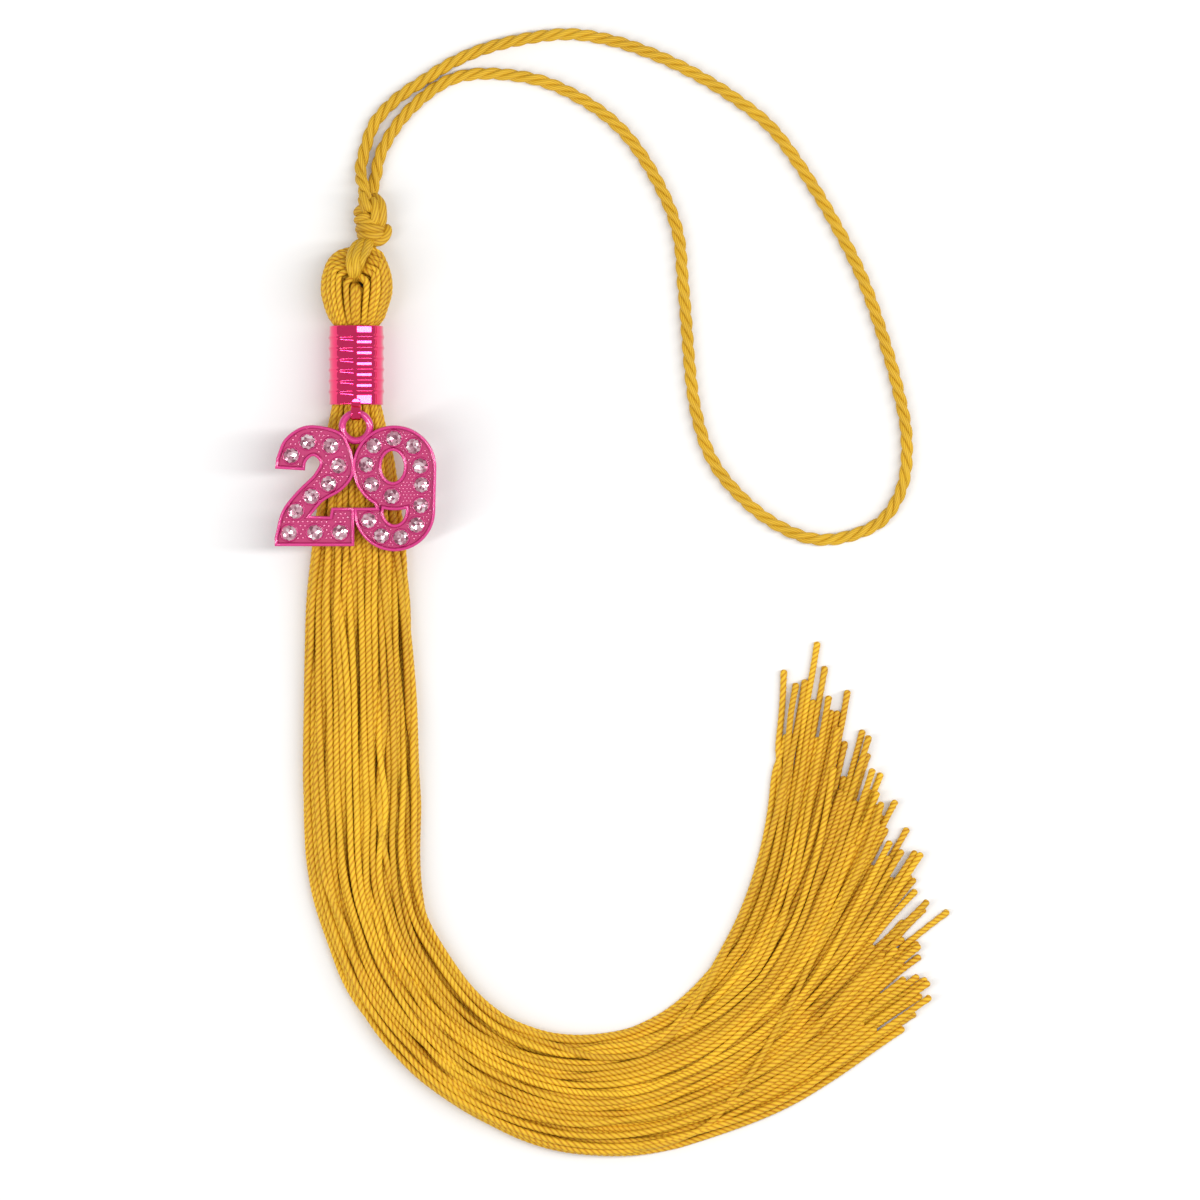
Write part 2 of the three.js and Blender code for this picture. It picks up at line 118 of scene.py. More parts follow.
# The hanging cord: three strands of rayon twisted to the left, doubled into a long loop whose two ends run
# side by side into the knot. It lies on the table all the way round from where it leaves the knot.
CORD_LAY = 8.4  # along the cord for one turn of a strand
CORD_STRANDS = 3
STRAND_RADIUS = 0.53
STRAND_OFFSET = 0.58
STRAND_CORNERS = 14
# The groove colour is painted shade in the grooves of the twist.
CORD_CREST = (0.66, 0.415, 0.028)
CORD_GROOVE_SHADE = (0.42, 0.185, 0.011)
CORD_STEP = 0.45
CORD_POINTS = [
    (1.5, 36.0, 4.4), (0.9, 38.4, 3.4), (0.4, 41.0, 1.7), (1.2, 45.0, 1.15), (3.0, 49.7, 1.15),
    (6.7, 53.7, 1.15), (11.3, 56.9, 1.15), (17.0, 60.4, 1.15), (24.0, 63.1, 1.15), (36.2, 65.1, 1.15),
    (43.5, 64.2, 1.15), (50.1, 62.2, 1.15), (57.2, 59.1, 1.15), (65.5, 54.2, 1.15), (72.2, 48.9, 1.15),
    (77.7, 41.6, 1.15), (83.3, 32.4, 1.15), (88.2, 22.7, 1.15), (91.9, 12.3, 1.15), (94.6, 2.8, 1.15),
    (96.1, -5.5, 1.15), (95.4, -14.0, 1.15), (91.9, -20.0, 1.15), (85.9, -22.9, 1.15), (80.0, -23.4, 1.15),
    (73.2, -20.8, 1.15), (66.8, -15.7, 1.15), (62.0, -9.4, 1.15), (59.1, -0.6, 1.15), (57.0, 20.5, 1.15),
    (55.9, 30.7, 1.15), (52.2, 39.7, 1.15), (46.2, 48.3, 1.15), (39.0, 53.8, 1.15), (30.1, 57.4, 1.15),
    (17.2, 57.5, 1.15), (8.7, 51.5, 1.15), (4.0, 44.3, 1.15), (3.1, 40.4, 1.25), (2.1, 36.0, 1.6),
]
CURVE_POINTS = 24  # from one given point to the next
END_DOME = [(25, 0.35), (50, 0.6), (72, 0.75), (86, 0.79)]  # degrees of rounding, share of a radius outwards
MAP_MARGIN = 0.08  # free on each side of a tube's strip in the flat map
PLAIN_TONE = 0.5


def lengths(route):
    """How far along the route each of its points lies."""
    return np.concatenate([[0], np.cumsum(np.linalg.norm(np.diff(route, axis=0), axis=1))])


def unit(vectors):
    """The vectors at a length of one."""
    return vectors / np.maximum(np.linalg.norm(vectors, axis=-1, keepdims=True), 1e-12)


def bend(t, start, leave, end, arrive):
    """Points at shares t of a curve between two ends, from how it leaves one and arrives at the other."""
    near_start = (2 * t**3 - 3 * t**2 + 1) * start + (t**3 - 2 * t**2 + t) * leave
    return near_start + (3 * t**2 - 2 * t**3) * end + (t**3 - t**2) * arrive


def smooth(points, step):
    """A smooth curve through the points, cut into equal steps. The points may have any number of columns."""
    given = np.array(points, float)
    given = np.vstack([2 * given[0] - given[1], given, 2 * given[-1] - given[-2]])
    gaps = np.sqrt(np.linalg.norm(np.diff(given, axis=0), axis=1))
    t = np.linspace(0, 1, CURVE_POINTS + 1)[1:, None]
    fine = [given[1:2]]
    for i in range(1, len(given) - 2):
        before, here, after, beyond = given[i - 1 : i + 3]
        a, b, c = gaps[i - 1 : i + 2]
        leave = b * ((here - before) / a - (after - before) / (a + b) + (after - here) / b)
        arrive = b * ((after - here) / b - (beyond - here) / (b + c) + (beyond - after) / c)
        fine.append(bend(t, here, leave, after, arrive))
    fine = np.vstack(fine)
    run = lengths(fine)
    marks = np.linspace(0, run[-1], max(2, round(run[-1] / step)) + 1)
    return np.column_stack([np.interp(marks, run, column) for column in fine.T])


def frames(route):
    """The directions along a route and two across it, which turn about it no more than they must."""
    along = unit(np.gradient(route, axis=0))
    across = np.empty_like(along)
    first = np.cross(along[0], (0.0, 0.0, 1.0))
    if np.linalg.norm(first) < 0.1:
        first = np.cross(along[0], (0.0, 1.0, 0.0))
    across[0] = unit(first)
    for i in range(1, len(route)):
        kept = across[i - 1] - along[i] * (across[i - 1] @ along[i])
        across[i] = kept / np.linalg.norm(kept)
    return along, across, np.cross(along, across)


def tube(route, radius, corners, turned=0.0, swell=None):
    """Rings of points round a route, with rounded ends. The radius may change along it, and swell, if given,
    scales it by the share of a turn and the length."""
    radius = np.broadcast_to(radius, len(route))
    along, across, over = frames(route)
    share = np.arange(corners) / corners
    angle = turned + math.tau * share
    spokes = np.cos(angle)[:, None] * across[:, None] + np.sin(angle)[:, None] * over[:, None]
    if swell:
        spokes *= swell(share[None], lengths(route)[:, None])[..., None]
    rings = route[:, None] + radius[:, None, None] * spokes
    before, after = [], []
    for degrees, outwards in END_DOME:
        shrink = math.cos(math.radians(degrees))
        before.insert(0, route[0] - outwards * radius[0] * along[0] + shrink * radius[0] * spokes[0])
        after.append(route[-1] + outwards * radius[-1] * along[-1] + shrink * radius[-1] * spokes[-1])
    return np.concatenate([before, rings, after])


def rope(route):
    """The strands of the cord along a route, each one a tube, twisted round each other to the left."""
    _, across, over = frames(route)
    turn = -math.tau * lengths(route)[:, None] / (CORD_LAY * MILLI)
    strands = []
    for k in range(CORD_STRANDS):
        angle = turn + math.tau * k / CORD_STRANDS
        off_route = STRAND_OFFSET * MILLI * (np.cos(angle) * across + np.sin(angle) * over)
        strands.append(tube(route + off_route, STRAND_RADIUS * MILLI, STRAND_CORNERS))
    return strands


def quads(grid):
    """The faces between rows of numbered points. Each row closes on itself."""
    turned = np.roll(grid, -1, -1)
    corners = [grid[..., :-1, :], turned[..., :-1, :], turned[..., 1:, :], grid[..., 1:, :]]
    return np.stack(corners, -1).reshape(-1, 4)


def form(name, points, faces, tones=None, domain="POINT"):
    """A mesh of points and faces, each of which may carry a tone for the finish to read."""
    mesh = bpy.data.meshes.new(name)
    mesh.from_pydata(points, [], faces)
    if tones is not None:
        mesh.attributes.new("tone", "FLOAT", domain).data.foreach_set("value", tones.astype(np.float32))
    return mesh


def stand(name, mesh, finish, body, replaced=()):
    """The mesh as an object of the model, in its finish, on its body and in place of its CAD nodes."""
    mesh.materials.append(finish)
    made = put(name, mesh)
    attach(made, body)
    if replaced:
        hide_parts(*replaced)
    return made


def piece(name, tubes, finish, body, replaced=(), tones=None, lays=None):
    """One mesh of tubes that rides on a body. Its map "twist" holds how far round and how far along each tube
    a point is, by its own lay if it has one, and its map "OFBake" lays the tubes side by side as strips."""
    points, faces, twist, strips, shades = [], [], [], [], []
    start = 0
    longest = max(lengths(rings[:, 0])[-1] for rings in tubes)
    for k, rings in enumerate(tubes):
        count, corners = rings.shape[:2]
        grid = start + np.arange(count * corners).reshape(count, corners)
        faces += quads(grid).tolist() + [grid[0, ::-1].tolist(), grid[-1].tolist()]
        run = lengths(rings.mean(1))
        run -= run[len(END_DOME)]
        around = np.stack([np.arange(corners) + d for d in (0, 1, 1, 0)], -1) / corners
        length = np.stack([run[:-1], run[:-1], run[1:], run[1:]], -1)
        u = np.concatenate([np.tile(around.ravel(), count - 1), around[:, 0], around[:, 0]])
        v = np.concatenate([np.tile(length, corners).ravel(), np.repeat(run[[0, -1]], corners)])
        lay = 1 if lays is None else lays[k]
        twist.append(np.column_stack([u, v / lay]))
        in_strip = k + MAP_MARGIN + (1 - 2 * MAP_MARGIN) * u
        strips.append(np.column_stack([(v - run[0]) / longest, in_strip / len(tubes)]))
        points.append(rings.reshape(-1, 3))
        shades.append(np.full(count * corners, PLAIN_TONE if tones is None else tones[k]))
        start += count * corners
    mesh = form(name, np.vstack(points), faces, np.concatenate(shades))
    for layer, values in (("twist", twist), ("OFBake", strips)):
        mesh.uv_layers.new(name=layer).uv.foreach_set("vector", np.vstack(values).astype(np.float32).ravel())
    mesh.shade_smooth()
    return stand(name, mesh, finish, body, replaced)


class Flow:
    """What one socket of a material's nodes gives. Arithmetic on it adds Math nodes."""

    def __init__(self, made, socket=None):
        self.made, self.tree, self.socket = made, made.node_tree, socket

    def node(self, kind, settings=None, sockets=None, out=0):
        """One of the outputs of a new node, with its settings and the values or links of its sockets."""
        made = self.tree.nodes.new("ShaderNode" + kind)
        for name, value in (settings or {}).items():
            setattr(made, name, value)
        for name, value in (sockets or {}).items():
            if isinstance(value, Flow):
                self.tree.links.new(value.socket, made.inputs[name])
            else:
                made.inputs[name].default_value = value
        return Flow(self.made, made.outputs[out] if made.outputs else None)

    def maths(self, operation, *values):
        return self.node("Math", {"operation": operation}, dict(enumerate(values)))

    def clamped(self):
        """The same sum, kept between 0 and 1."""
        self.socket.node.use_clamp = True
        return self

    def mix(self, share, first, second):
        """Two colours mixed: a Mix node takes them at its sockets 6 and 7, and gives one at 2."""
        return self.node("Mix", {"data_type": "RGBA"}, {0: share, 6: first, 7: second}, out=2)

    def noise(self, scale, detail, place=None):
        """Soft noise over the piece, or over another place."""
        place = place or self.node("TexCoord", out="Object")
        return self.node("TexNoise", {}, {"Vector": place, "Scale": scale, "Detail": detail})

    def tone(self):
        """The tone that each point or face of the piece carries."""
        return self.node("Attribute", {"attribute_name": "tone"}, out="Fac")

    def surface(self, colour, roughness, relief, depth, **others):
        """Ends the material in a surface with a relief, whose depth is in millimetres."""
        bump = self.node("Bump", {}, {"Height": relief, "Distance": depth * MILLI})
        sockets = {"Base Color": colour, "Roughness": roughness, "Normal": bump}
        for name, value in others.items():
            sockets[name.replace("_", " ")] = value
        self.node("OutputMaterial", {}, {"Surface": self.node("BsdfPrincipled", {}, sockets)})
        return self.made

    def __add__(self, other):
        return self.maths("ADD", self, other)

    def __sub__(self, other):
        return self.maths("SUBTRACT", self, other)

    def __rsub__(self, other):
        return self.maths("SUBTRACT", other, self)

    def __mul__(self, other):
        return self.maths("MULTIPLY", self, other)

    def __pow__(self, other):
        return self.maths("POWER", self, other)

    __radd__, __rmul__ = __add__, __mul__


def material(name):
    """A Flow in a new material that has no nodes yet."""
    made = bpy.data.materials.new(name)
    made.use_nodes = True
    made.node_tree.nodes.clear()
    return Flow(made)


FIBRES = (9, 900, 50)  # their fineness round a ply, along it and from thread to thread


def rayon(name, plies, lay, crest, groove, depth, fibre):
    """Twisted rayon: rounded plies whose grooves are painted dark and red as shade, and fine fibres along
    each ply.
    """
    flow = material(name)
    twist = flow.node("UVMap", {"uv_map": "twist"})
    around, along = (flow.node("SeparateXYZ", {}, {0: twist}, out=axis) for axis in "XY")
    wave = plies * around - plies / (lay * MILLI) * along
    ply = flow.maths("ABSOLUTE", flow.maths("SINE", wave * math.pi))
    tone = flow.tone()
    fibre_place = {axis: part * FIBRES[axis] for axis, part in enumerate((wave, along, tone))}
    fibres = flow.noise(1.0, 2.0, flow.node("CombineXYZ", {}, fibre_place))
    patch = flow.noise(260.0, 1.0)
    slack = flow.noise(70.0, 2.0)
    # Lower tones are darker and redder. Tones differ at random, and the skirt's threads below get low ones as
    # painted shade.
    bright = 0.66 + 0.36 * tone + 0.16 * fibres + 0.22 * patch
    # The grooves between the plies take the groove colour, which is painted shade.
    colour = flow.mix(ply ** (1.7 * slack), (*groove, 1), (*crest, 1))
    colour = flow.node("HueSaturation", {}, {"Hue": 0.494 + 0.011 * tone, "Value": bright, "Color": colour})
    return flow.surface(colour, 0.5, ply**0.7 + fibre * fibres, depth, Specular_IOR_Level=0.16)


cord_finish = rayon("cord_rayon", 9, 14.0, CORD_CREST, CORD_GROOVE_SHADE, depth=0.02, fibre=0.8)
cord_route = smooth(plan(CORD_POINTS), CORD_STEP * MILLI)
loop = piece("hanging_cord", rope(cord_route), cord_finish, "tassel", ["cord_loop"])

# The knot: both legs of the cord, tied together in one overhand knot and pulled tight. The strands of the
# cord open out side by side in it, so it shows as smooth rolls of rayon that wrap round each other.
ROLL_STEP = 0.28
ROLL_END = 0.45  # share of its thickness that a roll has at its ends
ROLL_WAVE = 9.0  # along a roll from one swelling to the next
KNOT_TONES = (0.35, 0.0, 0.2)  # darker than the cord, and not all alike
KNOT_ROLLS = [  # radius, then the roll's route
    (0.62, [(0.6, 37.2, 4.6), (1.2, 36.0, 5.2), (1.8, 34.8, 5.6), (2.25, 33.9, 5.2)]),
    (0.60, [(0.5, 36.3, 4.0), (0.8, 35.3, 4.8), (1.2, 34.3, 4.9), (1.6, 33.5, 4.3)]),
    (0.74, [(2.4, 36.7, 2.0), (3.5, 36.0, 3.6), (4.15, 34.9, 4.6), (4.3, 33.4, 5.0), (4.2, 32.0, 4.8),
        (3.6, 31.0, 4.0)]),
    (0.72, [(2.3, 36.1, 3.6), (2.95, 35.2, 4.9), (3.15, 33.9, 5.4), (3.1, 32.6, 5.4), (2.8, 31.5, 4.8)]),
    (0.80, [(1.8, 34.2, 4.2), (0.95, 34.4, 4.4), (0.35, 34.1, 3.7), (0.1, 33.8, 2.7), (0.7, 33.7, 1.4)]),
    (0.62, [(2.6, 32.7, 4.8), (1.2, 32.9, 4.9), (0.3, 32.6, 4.2), (0.0, 32.3, 3.0), (0.5, 32.1, 1.6)]),
    (0.36, [(0.2, 31.9, 3.9), (1.2, 31.95, 5.2), (2.2, 32.1, 5.7), (3.0, 31.9, 5.5), (3.6, 31.3, 4.7)]),
    (0.80, [(0.9, 30.6, 1.4), (0.4, 30.9, 2.6), (0.6, 31.1, 4.0), (1.3, 31.1, 5.1), (2.4, 30.9, 5.35),
        (3.4, 30.9, 4.9), (3.9, 31.0, 4.0), (3.7, 31.1, 2.6)]),
    (0.76, [(1.0, 29.6, 1.4), (0.6, 29.8, 2.8), (0.95, 29.7, 4.2), (1.9, 29.5, 5.0), (2.9, 29.6, 5.0),
        (3.7, 30.0, 4.3), (3.9, 30.4, 3.1)]),
    (0.78, [(1.1, 28.9, 2.6), (1.8, 28.7, 3.8), (2.8, 28.6, 4.2), (3.9, 28.7, 4.0), (4.7, 29.3, 3.7),
        (5.15, 30.2, 3.4), (5.1, 30.9, 2.9), (4.5, 31.2, 2.2)]),
    (0.70, [(0.8, 33.0, 1.5), (1.8, 33.6, 0.9), (3.2, 33.2, 1.1), (4.1, 32.4, 2.2), (4.2, 31.8, 3.4)]),
    (0.74, [(0.8, 30.9, 1.5), (2.0, 30.9, 0.92), (3.3, 30.7, 1.0), (4.1, 30.6, 2.2)]),
    (0.70, [(0.9, 29.3, 1.5), (2.1, 29.2, 0.92), (3.4, 29.3, 1.0), (4.4, 29.7, 2.3)]),
    (0.70, [(1.3, 35.9, 2.0), (1.2, 34.4, 2.6), (1.9, 32.6, 3.4), (2.2, 30.6, 3.4), (1.7, 28.9, 3.2)]),
    (0.70, [(2.4, 35.8, 2.0), (2.9, 34.2, 3.0), (2.7, 32.2, 3.0), (3.0, 30.4, 3.0), (2.6, 28.9, 2.9)]),
]


def rolls(table, uneven, plump):
    """Soft strands along given routes, each a little irregular, and narrower at its two ends."""
    tubes = []
    for number, (radius, route) in enumerate(table):
        route = smooth(plan(route), ROLL_STEP * MILLI)
        share = np.linspace(0, 1, len(route))
        full = np.minimum(1, 7 * np.minimum(share, 1 - share)) ** 0.6
        thick = plump * radius * MILLI * (ROLL_END + (1 - ROLL_END) * full)

        def swell(turn, length, number=number):
            return 1 + uneven * np.sin(math.tau * (3 * turn + length / (ROLL_WAVE * MILLI)) + number)

        tubes.append(tube(route, thick, STRAND_CORNERS, number, swell))
    return tubes


knot = rolls(KNOT_ROLLS, uneven=0.07, plump=1.12)
piece("cord_knot", knot, cord_finish, "tassel", ["knot"], np.resize(KNOT_TONES, len(knot)))

# The sling: the bight of the same cord below the knot. Its strands lie side by side over the front of the
# head, dive into the crease of the yarn, pass through the fold and come up again behind it.
SLING_STRANDS = [
    (0.66, [(1.5, 29.4, 3.6), (0.6, 28.7, 4.8), (-0.3, 27.9, 6.6), (-0.95, 26.7, 8.4), (-1.2, 25.2, 9.9),
        (-1.15, 23.9, 10.6), (-0.85, 22.8, 10.3), (-0.7, 22.0, 9.2), (-0.6, 21.2, 7.2), (-0.6, 21.0, 5.2),
        (-0.8, 21.6, 3.2), (-0.9, 23.2, 1.6), (-0.3, 25.4, 1.2), (0.9, 27.4, 1.8), (1.8, 28.8, 2.6)]),
    (0.78, [(2.0, 29.4, 3.8), (1.2, 28.8, 4.8), (0.55, 28.0, 6.5), (0.15, 26.8, 8.4), (-0.15, 25.6, 10.0),
        (-0.15, 24.4, 10.7), (0.0, 23.4, 10.6), (-0.1, 22.4, 9.2), (-0.3, 21.6, 7.2), (-0.4, 21.5, 5.2),
        (-0.2, 22.0, 3.2), (0.2, 23.6, 1.5), (0.9, 25.6, 1.1), (1.9, 27.4, 1.8), (2.3, 28.8, 2.6)]),
    (0.72, [(2.4, 29.4, 3.8), (2.1, 28.9, 4.8), (1.75, 28.1, 6.3), (1.45, 27.0, 7.9), (1.15, 25.8, 9.4),
        (0.8, 24.8, 10.1), (0.55, 24.0, 9.6), (0.3, 23.0, 8.2), (0.0, 22.4, 6.4), (0.2, 22.5, 4.4),
        (0.8, 23.2, 2.6), (1.3, 24.4, 1.4), (1.9, 26.0, 1.2), (2.6, 27.4, 1.8), (2.8, 28.8, 2.6)]),
    (0.55, [(2.7, 29.6, 4.0), (2.4, 28.6, 4.8), (2.2, 27.6, 6.1), (1.8, 26.6, 7.5), (1.3, 25.6, 8.3)]),
]
sling = rolls(SLING_STRANDS, uneven=0.05, plump=1.0)
piece("cord_sling_strands", sling, cord_finish, "tassel", ["cord_sling"])

# The head: the fold of the yarn, where the whole hank doubles over the cord. Each thread comes up out of the
# band, swells out with the rest and arches over into the crease that the sling pulls into the middle.
THREAD_RADIUS = 0.54
THREAD_LAY = 3.1
PLIES = 3
PLY_RELIEF = 0.08
FINE = (9, 7)  # corners round a thread that shows, and its rings along one turn of the twist
CUT_FLARE = 0.10
CUT_REACH = 1.1
# The groove colour is painted shade in the grooves between the plies.
GOLD_CREST = (0.69, 0.42, 0.026)
GOLD_GROOVE_SHADE = (0.425, 0.146, 0.0085)
HEAD_SECTIONS = [  # distance from the datum, the left and right sides, the top and the middle height
    (10.0, -4.15, 3.75, 8.83, 4.88), (13.8, -4.15, 3.75, 8.85, 4.9), (14.5, -4.8, 4.6, 9.4, 4.9),
    (15.6, -5.3, 5.0, 10.0, 5.1), (17.2, -5.95, 5.6, 10.8, 5.3), (19.6, -6.5, 6.25, 11.3, 5.4),
    (21.6, -6.5, 6.3, 11.3, 5.4), (23.4, -6.1, 5.9, 10.9, 5.3), (25.2, -5.3, 5.2, 10.2, 5.2),
    (26.7, -3.7, 4.4, 9.2, 5.1), (27.7, -2.0, 3.4, 7.9, 5.0), (28.4, -0.6, 2.2, 6.6, 5.0),
]
HEAD_LAYERS = [(0.0, 15), (0.85, 12), (1.7, 8)]  # depth under the surface and the threads on each side
HEAD_START = 11.0  # inside the band
HEAD_ROOM = 0.56  # from the middle of a thread to the surface of the head
HEAD_RADIUS = 0.44  # of a thread in the band
HEAD_SWELL = 0.09  # that it gains above it
HEAD_TONES = (0.25, 1.05)
CREASE_FOOT = (-0.7, 20.0)
CREASE_LEAN = 0.2
CREASE_RISE = 7.9
CREASE_DEPTH = 2.4
ANY_TURN = 6.28  # a twist starts anywhere up to this

yarn_finish = rayon("twisted_yarn", PLIES, THREAD_LAY, GOLD_CREST, GOLD_GROOVE_SHADE, depth=0.055, fibre=0.5)


def yarn(route, radius, turned, fineness=FINE, cut=False, lay=1.0):
    """One thread of three plies twisted to the right. A cut end flares and loosens a little."""
    corners, rings = fineness
    route = np.column_stack([route, np.broadcast_to(radius, len(route))])
    route = smooth(route, THREAD_LAY / rings * MILLI)
    route, radius = route[:, :3], route[:, 3]
    if cut:
        to_end = lengths(route)[-1] - lengths(route)
        radius = radius * (1 + CUT_FLARE * np.exp(-((to_end / (CUT_REACH * MILLI)) ** 2)))

    def plies(turn, length):
        return 1 - PLY_RELIEF * np.cos(math.tau * PLIES * (turn - length / (lay * THREAD_LAY * MILLI)))

    return tube(route, radius / (1 + 0.35 * PLY_RELIEF), corners, turned, plies)


def head_thread(side, angle, depth):
    """The route of one thread of the head, from inside the band to the crease. The angle is 0 in front."""
    fold = 1 - abs(1 - angle / 90)
    crest = CREASE_FOOT[1] + CREASE_RISE * fold**0.7 - 0.5 * depth
    y = np.concatenate([np.linspace(HEAD_START, crest - 1.3, 12), [crest - 0.55]])
    ys, *columns = np.array(HEAD_SECTIONS).T
    left, right, top, middle = (np.interp(y, ys, column) for column in columns)
    half = (right - left) / 2 - HEAD_ROOM - depth
    rise = top - middle - HEAD_ROOM - depth
    x = (right + left) / 2 + side * half * math.sin(math.radians(angle))
    z = middle + rise * math.cos(math.radians(angle))
    crease_x = CREASE_FOOT[0] + CREASE_LEAN * (crest - CREASE_FOOT[1])
    x[-1] = 0.58 * x[-1] + 0.42 * crease_x
    front = 1 if angle < 90 else -1
    sunk = z[-1] - front * CREASE_DEPTH * (0.35 + 0.65 * (1 - fold))
    z[-1] -= front * 0.3 * (1 - fold)
    route = np.vstack([np.column_stack([x, y, z]), [crease_x + side * 0.35, crest - 0.1, sunk]])
    route[:, 2] = np.maximum(route[:, 2], 1.08 * HEAD_ROOM)
    return plan(route)


rng = np.random.default_rng(11)
head_tubes, head_tones = [], []
for depth, count in HEAD_LAYERS:
    for side in (-1, 1):
        for j in range(count):
            angle = 180 * (j + 0.5) / count + rng.uniform(-2, 2)
            route = head_thread(side, angle, depth + rng.uniform(0, 0.18))
            swollen = np.minimum(1, np.linspace(0, 1, len(route)) * 3)
            radius = MILLI * (HEAD_RADIUS + HEAD_SWELL * swollen)
            head_tubes.append(yarn(route, radius, rng.uniform(0, ANY_TURN)))
            head_tones.append(rng.uniform(*HEAD_TONES))
piece("head_yarn", head_tubes, yarn_finish, "tassel", ["yarn_bundle"], head_tones)

# The skirt: the cut threads of the hank, hanging out of the band side by side. They sweep round to the right
# in one wide bundle that flattens as it goes, cross each other at shallow angles, and part near the cut.
SKIRT_THREADS = 80
SHOWING = 42  # of them lie on top, and get the finer mesh
COARSE = (6, 5)
SKIRT_STEP = 2.2
SKIRT_SECTIONS = [  # the outer edge, the inner edge, the top and the middle height of the heap
    (-4.15, 1.4, 3.75, 1.4, 8.83, 4.88), (-4.6, -0.8, 4.4, -0.8, 8.6, 4.4),
    (-5.2, -3.6, 4.9, -3.6, 8.4, 3.8), (-5.9, -8.4, 6.3, -8.4, 8.2, 3.1),
    (-6.5, -13.1, 6.9, -13.1, 7.9, 2.8), (-8.2, -25.7, 8.6, -25.7, 7.0, 2.1),
    (-9.1, -34.1, 9.3, -34.1, 6.7, 1.8), (-9.4, -42.8, 9.9, -42.8, 6.5, 1.7),
    (-9.7, -51.6, 10.6, -51.6, 6.3, 1.6), (-10.0, -60.5, 10.9, -60.5, 6.2, 1.6),
    (-10.0, -67.1, 11.2, -66.6, 6.1, 1.6), (-9.6, -74.0, 11.1, -71.5, 6.0, 1.6),
    (-9.0, -80.5, 10.9, -76.5, 6.0, 1.6), (-7.7, -87.2, 11.0, -81.5, 6.0, 1.6),
    (-5.4, -94.1, 11.4, -86.2, 6.0, 1.6), (-3.0, -100.5, 12.8, -90.4, 6.0, 1.6),
    (-0.3, -105.5, 14.4, -93.4, 5.9, 1.6), (3.9, -111.3, 16.7, -97.2, 5.9, 1.6),
    (8.5, -116.3, 19.4, -101.0, 5.9, 1.6), (13.0, -120.3, 22.6, -104.3, 5.9, 1.6),
    (17.7, -123.6, 26.1, -106.9, 5.9, 1.6), (22.8, -126.4, 30.2, -108.8, 5.8, 1.6),
    (28.2, -128.8, 34.3, -109.9, 5.7, 1.5), (34.8, -130.8, 37.9, -110.2, 5.7, 1.5),
    (41.5, -131.7, 41.3, -110.1, 5.6, 1.5), (49.5, -131.6, 44.7, -109.6, 5.5, 1.4),
    (57.1, -130.3, 48.3, -108.6, 5.3, 1.4), (64.2, -128.2, 51.7, -107.2, 5.0, 1.3),
    (71.4, -125.2, 55.3, -105.4, 4.7, 1.2),
]
FILLING = 0.78  # share of the heap that the threads fill
PLUMP = 1.06  # a soft thread is this much wider than the room it keeps from its neighbours
EVEN_TURN = 2.39996  # radians between threads, to deal them out evenly over the heap
WANDER = ((0.045, 0.30), (0.012, 0.10))  # of the heap across and up, for a thread's slow and quick waves
WANDER_WAVES = ((110, 200), (30, 60))  # the lengths of those waves
RELAX_ROUNDS = 160
HOMING = 0.06  # share of the way to its own place that a thread is drawn in a round
SKIRT_SAG = 0.012
PUSH = 0.6  # share of an overlap that goes in a round


def apart(offsets, reach):
    """Half the push that keeps each pair of threads one reach apart, from their offsets."""
    gap = np.sqrt((offsets**2).sum(-1))
    overlap = np.clip(reach - gap, 0, None) / np.maximum(gap, 1e-6)
    return 0.5 * (overlap[..., None] * offsets).sum(1)


def even_out(values, share, rounds=1):
    """Draws each value towards the mean of its neighbours along the threads, ends aside."""
    for _ in range(rounds):
        values[:, 1:-1] += share * (values[:, 2:] + values[:, :-2] - 2 * values[:, 1:-1])


sections = smooth(SKIRT_SECTIONS, SKIRT_STEP)
outer, inner, heap_top, heap_middle = sections[:, :2], sections[:, 2:4], sections[:, 4], sections[:, 5]
width = np.linalg.norm(inner - outer, axis=1)
rise = heap_top - heap_middle
heap_area = math.pi * width / 2 * rise * (0.5 + 0.5 * np.minimum(1, heap_middle / rise))
packed = np.minimum(THREAD_RADIUS, np.sqrt(FILLING * heap_area / (SKIRT_THREADS * math.pi)))

from_middle = np.sqrt((np.arange(SKIRT_THREADS) + 0.5) / SKIRT_THREADS)
dealt = EVEN_TURN * np.arange(SKIRT_THREADS)
lane = from_middle * np.cos(dealt)
layer = from_middle * np.sin(dealt) / np.sqrt(1 - lane**2)
lane, layer = (np.repeat((1 + place)[:, None] / 2, len(outer), 1) for place in (lane, layer))
station = lengths((outer + inner) / 2)
for (sideways, upwards), (short, long) in zip(WANDER, WANDER_WAVES):
    for place, size in ((lane, sideways), (layer, upwards)):
        wave = math.tau / rng.uniform(short, long, (SKIRT_THREADS, 1))
        place += size * np.sin(wave * station + rng.uniform(0, math.tau, (SKIRT_THREADS, 1)))
lane = np.clip(lane, 0.01, 0.99)
bulge = rise * np.sqrt(1 - (2 * lane - 1) ** 2)
lowest = np.maximum(0, heap_middle - bulge)
height = lowest + np.clip(layer, 0, 1) * (heap_middle + bulge - lowest)
goal = np.stack([lane * width, height], -1).astype(np.float32)
spot = goal.copy()
